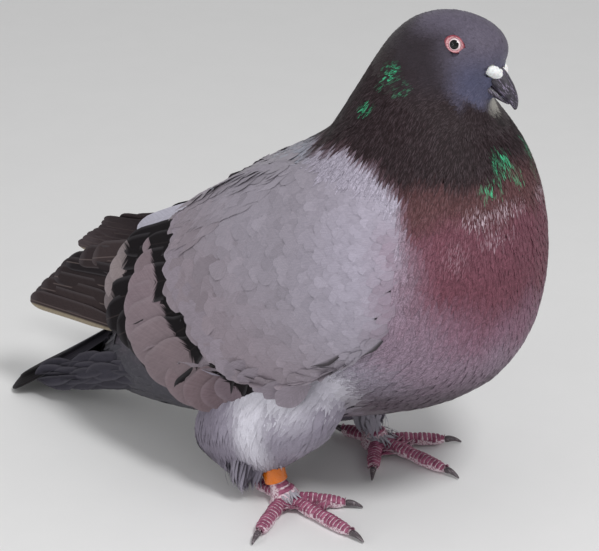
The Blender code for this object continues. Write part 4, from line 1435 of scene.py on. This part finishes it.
def cere_shape(points):
    """How far the cere's flesh swells, most of all where its halves meet over the ridge."""
    x, y, z = mirrored(points).T
    lobes = 1.1 * smoothstep(1.5, 4.0, y) * smoothstep(8.2, 6.0, y) * smoothstep(264, 268.5, z)
    bridge = 1.3 * smoothstep(4.0, 1.0, y) * smoothstep(96, 101, x) * smoothstep(272, 270, z)
    return 0.3 + lobes + bridge + 0.14 * waves(points, 2.8, 31) + 0.05 * waves(points, 1.1, 33)


def build_bill(finish):
    """The bill's two halves, the lower one moved a little so that it closes on the upper."""
    pieces = []
    for node, swell, shift in (("bill_upper", 0.35, (0, 0, 0)), ("bill_lower", 0.6, (0.5, 0, 0.7))):
        mesh = refined(node, 3, swell)
        mesh.transform(Matrix.Translation(Vector(shift) * MM))
        pieces.append(shown(node + "_horn", mesh, finish, (node,)))
    return pieces


def build_cere(finish):
    """The cere: its right lobe stands higher than its left, and the ridge between them sinks."""
    cere = refined("cere", 3, 0.3, cere_shape)
    for vert in cere.vertices:
        y = from_frame(vert.co)[1]
        ridge, left = smoothstep(6.5, 1.5, abs(y)), smoothstep(-2, 4, y)
        rise = 1.2 - 2.2 * left - (3.6 - 1.8 * left) * ridge
        vert.co += Vector((0.3 + 0.5 * ridge, 0.0, rise)) * MM
    return shown("cere_flesh", cere, finish, ("cere",))


# ---------------------------------------------------------------- legs, feet, claws and band

def foot_nodes(word):
    return ["shank_" + word] + ["toe_%s_%s" % (toe, word) for toe, *_ in TOES]


def foot_form(word):
    return once("foot_" + word, lambda: Form(closed_over(foot_nodes(word), 0.75, 4, 0.2)))


def build_foot_skin(word, finish):
    form = foot_form(word)
    mesh = form.mesh.copy()
    points = form.points - form.normals * 0.25
    points[:, 2] = np.maximum(points[:, 2], 0.0)
    mesh.vertices.foreach_set("co", to_frame(points).ravel())
    mesh.update()
    mesh.shade_smooth()
    return shown("foot_skin_" + word, mesh, finish, foot_nodes(word))


def scute_rows(word):
    """The rows of plates on a foot: places on the limb's axis with the way out and to the side."""
    foot = Vector((*FEET[word], 0.0))
    rows = []
    for _, right, left, length in TOES:
        angle = math.radians(right if word == "right" else left)
        heading = Vector((math.cos(angle), math.sin(angle), 0.0))
        across = Vector((0, 0, 1)).cross(heading)
        count = int((length - 7.0) / 2.55)
        for i in range(count):
            place = foot + heading * (8.0 + (length - 7.5) * (i + 0.5) / count)
            place.z = 3.6
            rows.append((place, heading, Vector((0, 0, 1)), across, (length - 7.0) / count, 1.9))
    pitch, first = 2.7, 8.5
    heading = Vector((-0.38, 0.0, 0.92)).normalized()       # up the shank, which leans back
    for i in range(11):
        z = first + pitch * i
        ahead = -3.4 - 0.42 * (z - first)
        rows.append((foot + Vector((ahead, 0, z)), heading, Vector((0.92, 0.0, 0.38)),
                     Vector((0, 1, 0)), pitch, 1.6))
    return rows


def build_scutes(word, finish):
    """Cross plates over the toes and down the front of the shank, each one slightly domed."""
    form = foot_form(word)
    across, along, faces = vane_grid(10, 4)
    along = np.arcsin(np.clip(along, 0, 1) ** (1 / 0.9)) / (math.pi / 2)        # evenly spaced again
    vanes = Vanes()
    rng = np.random.default_rng(5)
    laid = []
    for place, heading, up, side, pitch, half_turn in scute_rows(word):
        turns = across * half_turn * rng.uniform(0.75, 1.0) + rng.uniform(-0.15, 0.15)
        slant = rng.uniform(-0.5, 0.5)
        points = []
        for turn, share, a in zip(turns, along, across):
            start = place + heading * ((share - 0.5) * pitch * 0.95 + slant * a)
            way = up * math.cos(turn) + side * math.sin(turn)
            hit = form.tree.ray_cast(start + way * 14.0, -way)
            surface = hit[0] if hit[0] is not None else start + way * 3.5
            rim = min(1.0, 3.0 * min(share, 1 - share), 2.5 * (1 - abs(a)))
            points.append(surface + way * (-0.35 + 0.62 * rim ** 0.5))
        laid.append(np.array(points))
    points = np.array(laid)
    n, m = points.shape[:2]
    points[..., 2] = np.maximum(points[..., 2], 0.05)
    shape = np.ones((n, m, 4))
    shape[..., 0] = np.abs(across)
    shape[..., 1] = along
    shape[..., 2] = rng.random(n)[:, None]
    tile = np.zeros((n, m, 4))
    vane = np.broadcast_to(np.stack([across * 5.0, along * 2.5], axis=1), (n, m, 2))
    patch = spine_place(points[:, 0])[:, None] + PATCH * np.stack([across / 2, along - 0.5], axis=1)
    vanes.put(points, patch, vane, shape, tile, tile + 1.0, faces, np.zeros((n, m, 3)))
    return vanes.join("scutes_" + word, finish)


def build_claws(finish):
    pieces = []
    for word in FEET:
        for toe, *_ in TOES:
            node = "claw_%s_%s" % (toe, word)
            mesh = refined(node, 3, 0.3)
            pieces.append(shown(node + "_horn", mesh, finish, (node,)))
    return pieces


def build_band(finish):
    """The closed leg ring: a smooth turned band with rounded rims."""
    inner, outer, half = BAND_INNER, BAND_OUTER, BAND_HEIGHT / 2
    profile = [(inner, -half), (outer, -half), (outer, half), (inner, half), (inner, -half)]
    bm = turned(profile, 64)
    sharp = [edge for edge in bm.edges if edge.calc_face_angle(0.0) > 1.0]
    bmesh.ops.bevel(bm, geom=sharp, offset=BAND_ROUNDING, offset_type="OFFSET", affect="EDGES",
                    segments=3, profile=0.5, material=-1)
    lean = Matrix.Rotation(math.radians(BAND_LEAN), 4, "Y")
    mesh = placed(bm, "band", Matrix.Translation(BAND_PLACE) @ lean)
    return shown("band_ring", mesh, finish, ("leg_band",))


# ---------------------------------------------------------------- finishes of the bare parts

def horn_finish(name, base, dark, pale, slope, tip_at):
    """Horn with fine lengthwise streaks that run down forwards at that slope in degrees; the pale
    streaks are the horn's own streaking and painted highlights along its ridges as well. tip_at
    is where it darkens, as x in the frame."""
    made = Finish(name, Roughness=0.42, Specular_IOR_Level=0.45, Coat_Weight=0.15, Coat_Roughness=0.3)
    place = made.place()
    x, y, z = made.axes(place)
    down = math.radians(slope)
    along = made.minus(made.times(x, math.cos(down)), made.times(z, math.sin(down)))
    over = made.plus(made.times(x, math.sin(down)), made.times(z, math.cos(down)))
    streaks = made.noise(made.add("CombineXYZ", made.times(along, 0.12), y, over), 1500.0, 4.0, 0.6)
    blotches = made.noise(place, 420.0, 3.0)
    # pale streaks: the horn's own streaking together with painted highlights along its ridges
    colour = made.mix(made.ramp(streaks, 0.50, 0.66), base, pale)
    colour = made.mix(made.ramp(blotches, 0.5, 0.75, 0.0, 0.55), colour, dark)
    tip = made.ramp(made.minus(x, made.times(z, 0.9)), tip_at, tip_at + 0.008)
    colour = made.mix(made.times(tip, 0.75), colour, dark)
    return made.end(colour, made.bump(streaks, 0.4, 0.00025), made.ramp(blotches, 0.3, 0.7, 0.34, 0.55))


def cere_finish():
    made = Finish("powdered_cere", Roughness=0.85, Specular_IOR_Level=0.2, Subsurface_Weight=0.1)
    place = made.place()
    grain = made.noise(place, 2600.0, 5.0, 0.65)
    lumps = made.noise(place, 600.0, 2.0)
    colour = made.mix(made.ramp(lumps, 0.3, 0.75, 0.0, 0.7), "fbfaf8", "dcd6d8")
    colour = made.mix(made.ramp(grain, 0.55, 0.8, 0.0, 0.4), colour, "c9bfc4")
    return made.end(colour, made.bump(grain, 0.7, 0.0003))


def lid_finish():
    """Bare beaded skin, pale beside the eye and deep red at its outer rim."""
    made = Finish("bare_lid", Roughness=0.55, Specular_IOR_Level=0.35)
    place = made.place()
    beads = made.spots(place, 1500.0)
    fine = made.noise(place, 2400.0, 4.0)
    share = made.axes(made.add("UVMap", uv_map="Ring"))[0]
    share = made.plus(share, made.times(made.minus(fine, 0.5), 0.5))
    colour = made.mix(made.ramp(share, 0.2, 0.75), "e6aeb4", "98414e")
    colour = made.mix(made.ramp(beads, 0.3, 0.7, 0.0, 0.55), colour, "6d2c39")
    return made.end(colour, made.bump(made.plus(beads, fine), 0.7, 0.0003))


def eye_finish(pupil, iris):
    """Glossy eye: black pupil, and a pearly iris with fine spokes and a darker rim."""
    made = Finish("eye", Roughness=0.4, Specular_IOR_Level=0.0, Coat_Weight=0.8, Coat_Roughness=0.03)
    gaze = made.add("UVMap", uv_map="Gaze")
    x, y, _ = made.axes(gaze)
    square = made.plus(made.times(x, x), made.times(y, y))
    out = made.math("SQRT", square)
    spoke = made.add("CombineXYZ", made.math("DIVIDE", x, out), made.math("DIVIDE", y, out),
                     made.times(out, 0.12))
    spokes = made.noise(spoke, 14.0, 4.0, 0.7)
    edge = made.plus(out, made.times(made.minus(spokes, 0.5), 0.18))
    colour = made.mix(made.ramp(spokes, 0.35, 0.7), iris, "efe3e4")
    colour = made.mix(made.ramp(edge, pupil + 0.75, pupil + 1.15), colour, "8d5f68")
    colour = made.mix(made.ramp(edge, pupil + 0.13, pupil), colour, "070608")
    return made.end(colour)


def scale_finish(name, base, pale, deep, plated):
    """Scaly skin: small beads, or plates with pale edges and fine cracks."""
    made = Finish(name, Roughness=0.55, Specular_IOR_Level=0.4)
    place = made.place()
    beads = made.spots(place, 900.0)
    blotch = made.noise(place, 260.0, 4.0)
    colour = made.mix(made.ramp(blotch, 0.35, 0.65), base, deep)
    if plated:
        edge, along = made.colours(made.attribute("Shape"))[:2]
        ends = made.math("ABSOLUTE", made.minus(along, 0.5))
        rim = made.math("MAXIMUM", made.ramp(ends, 0.34, 0.5), made.ramp(edge, 0.82, 1.0))
        worn = made.ramp(made.noise(place, 700.0, 3.0), 0.35, 0.6, 0.15, 0.85)
        colour = made.mix(made.times(rim, worn), colour, pale)
    else:
        colour = made.mix(made.ramp(beads, 0.25, 0.6), colour, pale)
    fine = made.noise(place, 3000.0, 3.0)
    return made.end(colour, made.bump(made.plus(fine, made.times(beads, 0.6)), 0.5, 0.0002))


def band_finish(colour):
    made = Finish("ring_plastic", Roughness=0.3, Specular_IOR_Level=0.5, Coat_Weight=0.4, Coat_Roughness=0.12)
    place = made.place()
    wear = made.noise(place, 500.0, 5.0, 0.7)
    tone = made.mix(made.ramp(wear, 0.55, 0.8, 0.0, 0.35), (*colour, 1.0), "b65a10")
    return made.end(tone, made.bump(wear, 0.15, 0.0001), made.ramp(wear, 0.3, 0.8, 0.24, 0.42))


def floor_finish(colour):
    made = Finish("pale_floor", Roughness=0.75, Specular_IOR_Level=0.2)
    grain = made.noise(made.place(), 30.0, 5.0)
    tone = made.mix(made.ramp(grain, 0.3, 0.7, 0.0, 0.04), (*colour, 1.0), (0.6, 0.6, 0.6, 1.0))
    return made.end(tone)


# ---------------------------------------------------------------- stage

CAMERA_TURN, CAMERA_TIP = 33.0, 25.0        # degrees forward of the bird's right side, and up
CAMERA_AWAY = 1.4                           # metres
CAMERA_LENS = 149.3                         # mm, on a sensor 36 mm wide
TARGET = (-21.04, 0.0, 120.31)              # what camera and lamps point at


def aimed(scene, name, data, way):
    """Puts a camera or lamp that way from the target, looking back at it."""
    obj = bpy.data.objects.new(name, data)
    obj.location = at(*TARGET) + way
    obj.rotation_euler = way.to_track_quat("Z", "Y").to_euler()
    scene.collection.objects.link(obj)
    return obj


def add_camera(scene, back):
    data = bpy.data.cameras.new("camera")
    data.sensor_width = 36.0
    data.lens = CAMERA_LENS
    scene.camera = aimed(scene, "camera", data, back * CAMERA_AWAY)


def add_lamp(scene, name, way, size, power):
    light = bpy.data.lights.new(name, "AREA")
    light.shape = "DISK"
    light.size = size
    light.energy = power
    aimed(scene, name, light, way)


def add_world(scene, strength):
    world = bpy.data.worlds.new("studio")
    world.use_nodes = True
    background = world.node_tree.nodes["Background"]
    background.inputs["Color"].default_value = (1.0, 1.0, 1.0, 1.0)
    background.inputs["Strength"].default_value = strength
    scene.world = world
    scene.view_settings.view_transform = "Standard"


def add_floor(scene, finish):
    bm = bmesh.new()
    bmesh.ops.create_grid(bm, x_segments=4, y_segments=4, size=12.0)
    mesh = bpy.data.meshes.new("floor")
    bm.to_mesh(mesh)
    bm.free()
    mesh.materials.append(finish)
    floor = bpy.data.objects.new("floor", mesh)
    scene.collection.objects.link(floor)
    return floor


# ---------------------------------------------------------------- settings

class PigeonPlumage(bpy.types.PropertyGroup):
    fullness: bpy.props.FloatProperty(
        name="Fullness", description="Size of the small feathers against their spacing",
        default=1.12, min=0.5, max=1.5)
    small_rise: bpy.props.FloatProperty(
        name="Small feather rise", description="How far the tips of the small feathers stand off",
        default=0.0002, min=0.0, max=0.003, unit="LENGTH", subtype="DISTANCE")
    wing_rise: bpy.props.FloatProperty(
        name="Covert rise", description="How far the tips of the wing coverts stand off",
        default=0.00025, min=0.0, max=0.003, unit="LENGTH", subtype="DISTANCE")


class PigeonHead(bpy.types.PropertyGroup):
    lid_size: bpy.props.FloatProperty(
        name="Eye ring", description="Width of the ring of bare skin round the eye",
        default=0.0120, min=0.008, max=0.016, unit="LENGTH", subtype="DISTANCE")
    pupil_size: bpy.props.FloatProperty(
        name="Pupil", description="Width of the pupil",
        default=0.0049, min=0.003, max=0.006, unit="LENGTH", subtype="DISTANCE")


class PigeonBand(bpy.types.PropertyGroup):
    colour: bpy.props.FloatVectorProperty(
        name="Ring colour", description="Colour of the leg ring", subtype="COLOR", size=3,
        default=linear("e87a14"), min=0.0, max=1.0)


class PigeonStage(bpy.types.PropertyGroup):
    floor: bpy.props.FloatVectorProperty(
        name="Floor colour", description="Colour of the floor", subtype="COLOR", size=3,
        default=(0.82, 0.82, 0.82), min=0.0, max=1.0)
    key: bpy.props.FloatProperty(
        name="Key light", description="Strength of the large soft light", default=11.0, min=0.0,
        unit="POWER")
    around: bpy.props.FloatProperty(
        name="Light from all round", description="Strength of the even light", default=0.5, min=0.0)


# ---------------------------------------------------------------- operators

class PieceOperator:
    """What the operators share: they report a failure as one."""
    bl_options = {"REGISTER", "UNDO"}

    def done(self, made):
        if not made:
            raise RuntimeError(self.bl_label + " made nothing")
        return {"FINISHED"}


class PIGEON_OT_skin(PieceOperator, bpy.types.Operator):
    """One skin under the plumage"""
    bl_idname = "pigeon.skin"
    bl_label = "Build skin"

    def execute(self, context):
        return self.done(build_skin(skin_finish()))


class PIGEON_OT_coat(PieceOperator, bpy.types.Operator):
    """The small feathers of head, neck, body, thighs and wings"""
    bl_idname = "pigeon.coat"
    bl_label = "Grow plumage"

    def execute(self, context):
        settings = context.scene.pigeon_plumage
        finishes = {
            "contour": plumage("contour_plumage", 0.65, 0.42, 0.10, 0.03, 0.9, 0.22, 0.1),
            "hackle": plumage("hackle_plumage", 0.55, 0.40, 0.42, 0.0, 0.9, 0.2),
            "face": plumage("face_plumage", 0.6, 0.36, 0.22, 0.0, 0.9, 0.22, 0.1),
        }
        made = []
        for key, (*_, finish, slot) in COATS.items():
            wing = key.startswith("coverts")
            rise = (settings.wing_rise if wing else settings.small_rise) / MM
            piece = grow_coat(key, finishes[finish], ROOT_DEPTH, rise, settings.fullness)
            made.append(piece)
        for build in (build_scapulars, build_tufts):
            made.append(build(finishes["contour"]))
        return self.done(made)


class PIGEON_OT_flight(PieceOperator, bpy.types.Operator):
    """The folded wings' flight feathers and large coverts, and the tail"""
    bl_idname = "pigeon.flight"
    bl_label = "Lay flight feathers"

    def execute(self, context):
        finish = plumage("flight_plumage", 0.65, 0.45, 0.11, 0.04, 0.85, 0.12)
        made = []
        for side, word in SIDES:
            wing = build_wing_quills(side, word, finish)
            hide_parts("flight_" + word)
            made.append(wing)
        tail = build_tail(finish)
        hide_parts("tail")
        return self.done(made + [tail])


class PIGEON_OT_eyes(PieceOperator, bpy.types.Operator):
    """The eyes, with the ring of bare skin round each"""
    bl_idname = "pigeon.eyes"
    bl_label = "Set eyes"

    def execute(self, context):
        settings = context.scene.pigeon_head
        eye = eye_finish(settings.pupil_size / MM / 2, "e0cbd0")
        lid = lid_finish()
        made = []
        for side, word in SIDES:
            made.append(build_eye(side, word, eye))
            made.append(build_lid(side, word, lid, settings.lid_size))
        return self.done(made)


class PIGEON_OT_bill(PieceOperator, bpy.types.Operator):
    """The bill's two halves and the white cere on its root"""
    bl_idname = "pigeon.bill"
    bl_label = "Build bill"

    def execute(self, context):
        horn = horn_finish("bill_horn", "2f2b34", "100d11", "8a8097", 46.0, 0.1644 - 0.9 * 0.2536)
        return self.done(build_bill(horn) + [build_cere(cere_finish())])


class PIGEON_OT_feet(PieceOperator, bpy.types.Operator):
    """Scaly feet with their plates and claws"""
    bl_idname = "pigeon.feet"
    bl_label = "Build feet"

    def execute(self, context):
        skin = scale_finish("foot_skin", "b67d90", "dccad2", "915970", False)
        plate = scale_finish("foot_plates", "a15c78", "e2d4dc", "7f3c58", True)
        claw = horn_finish("claw_horn", "4b4247", "221d20", "8d8288", 20.0, 9.0)
        made = []
        for word in FEET:
            made.append(build_foot_skin(word, skin))
            made.append(build_scutes(word, plate))
        return self.done(made + build_claws(claw))


class PIGEON_OT_band(PieceOperator, bpy.types.Operator):
    """The ring on the right leg"""
    bl_idname = "pigeon.band"
    bl_label = "Build leg ring"

    def execute(self, context):
        return self.done(build_band(band_finish(tuple(context.scene.pigeon_band.colour))))


class PIGEON_OT_stage(PieceOperator, bpy.types.Operator):
    """Floor, soft light and camera"""
    bl_idname = "pigeon.stage"
    bl_label = "Set stage"

    def execute(self, context):
        scene = context.scene
        settings = scene.pigeon_stage
        turn, tip = math.radians(CAMERA_TURN), math.radians(CAMERA_TIP)
        back = Vector((math.sin(turn) * math.cos(tip), -math.cos(turn) * math.cos(tip), math.sin(tip)))
        right = Vector((math.cos(turn), math.sin(turn), 0.0))
        up = back.cross(right)
        add_camera(scene, back)
        add_lamp(scene, "key", back * 1.2 + right * 0.45 + up * 0.7, 0.3, settings.key)
        add_lamp(scene, "fill", back * 0.8 - right * 1.2 + up * 0.3, 0.9, settings.key * 0.2)
        add_lamp(scene, "catch", Vector((-0.19, -1.14, 0.08)), 0.13, settings.key * 0.12)
        add_world(scene, settings.around)
        return self.done(add_floor(scene, floor_finish(tuple(settings.floor))))


class PIGEON_PT_panel(bpy.types.Panel):
    """The pigeon's settings and steps"""
    bl_idname = "PIGEON_PT_panel"
    bl_label = "Pigeon"
    bl_space_type = "VIEW_3D"
    bl_region_type = "UI"
    bl_category = "Pigeon"

    def draw(self, context):
        scene = context.scene
        for name in SETTINGS:
            box = self.layout.box()
            group = getattr(scene, name)
            for field in group.__annotations__:
                box.prop(group, field)
        for operator in OPERATORS:
            self.layout.operator(operator.bl_idname)


SETTINGS = {"pigeon_plumage": PigeonPlumage, "pigeon_head": PigeonHead, "pigeon_band": PigeonBand,
            "pigeon_stage": PigeonStage}
OPERATORS = (PIGEON_OT_skin, PIGEON_OT_coat, PIGEON_OT_flight, PIGEON_OT_eyes, PIGEON_OT_bill,
             PIGEON_OT_feet, PIGEON_OT_band, PIGEON_OT_stage)


def register():
    for name, group in SETTINGS.items():
        bpy.utils.register_class(group)
        setattr(bpy.types.Scene, name, bpy.props.PointerProperty(type=group))
    for cls in (*OPERATORS, PIGEON_PT_panel):
        bpy.utils.register_class(cls)


def unregister():
    for cls in reversed((*OPERATORS, PIGEON_PT_panel)):
        bpy.utils.unregister_class(cls)
    for name, group in SETTINGS.items():
        delattr(bpy.types.Scene, name)
        bpy.utils.unregister_class(group)


def main():
    register()
    for operator in OPERATORS:
        step = getattr(bpy.ops.pigeon, operator.bl_idname.split(".")[1])
        if step() != {"FINISHED"}:
            raise RuntimeError(operator.bl_label + " didn't finish")


if __name__ == "__main__":
    main()
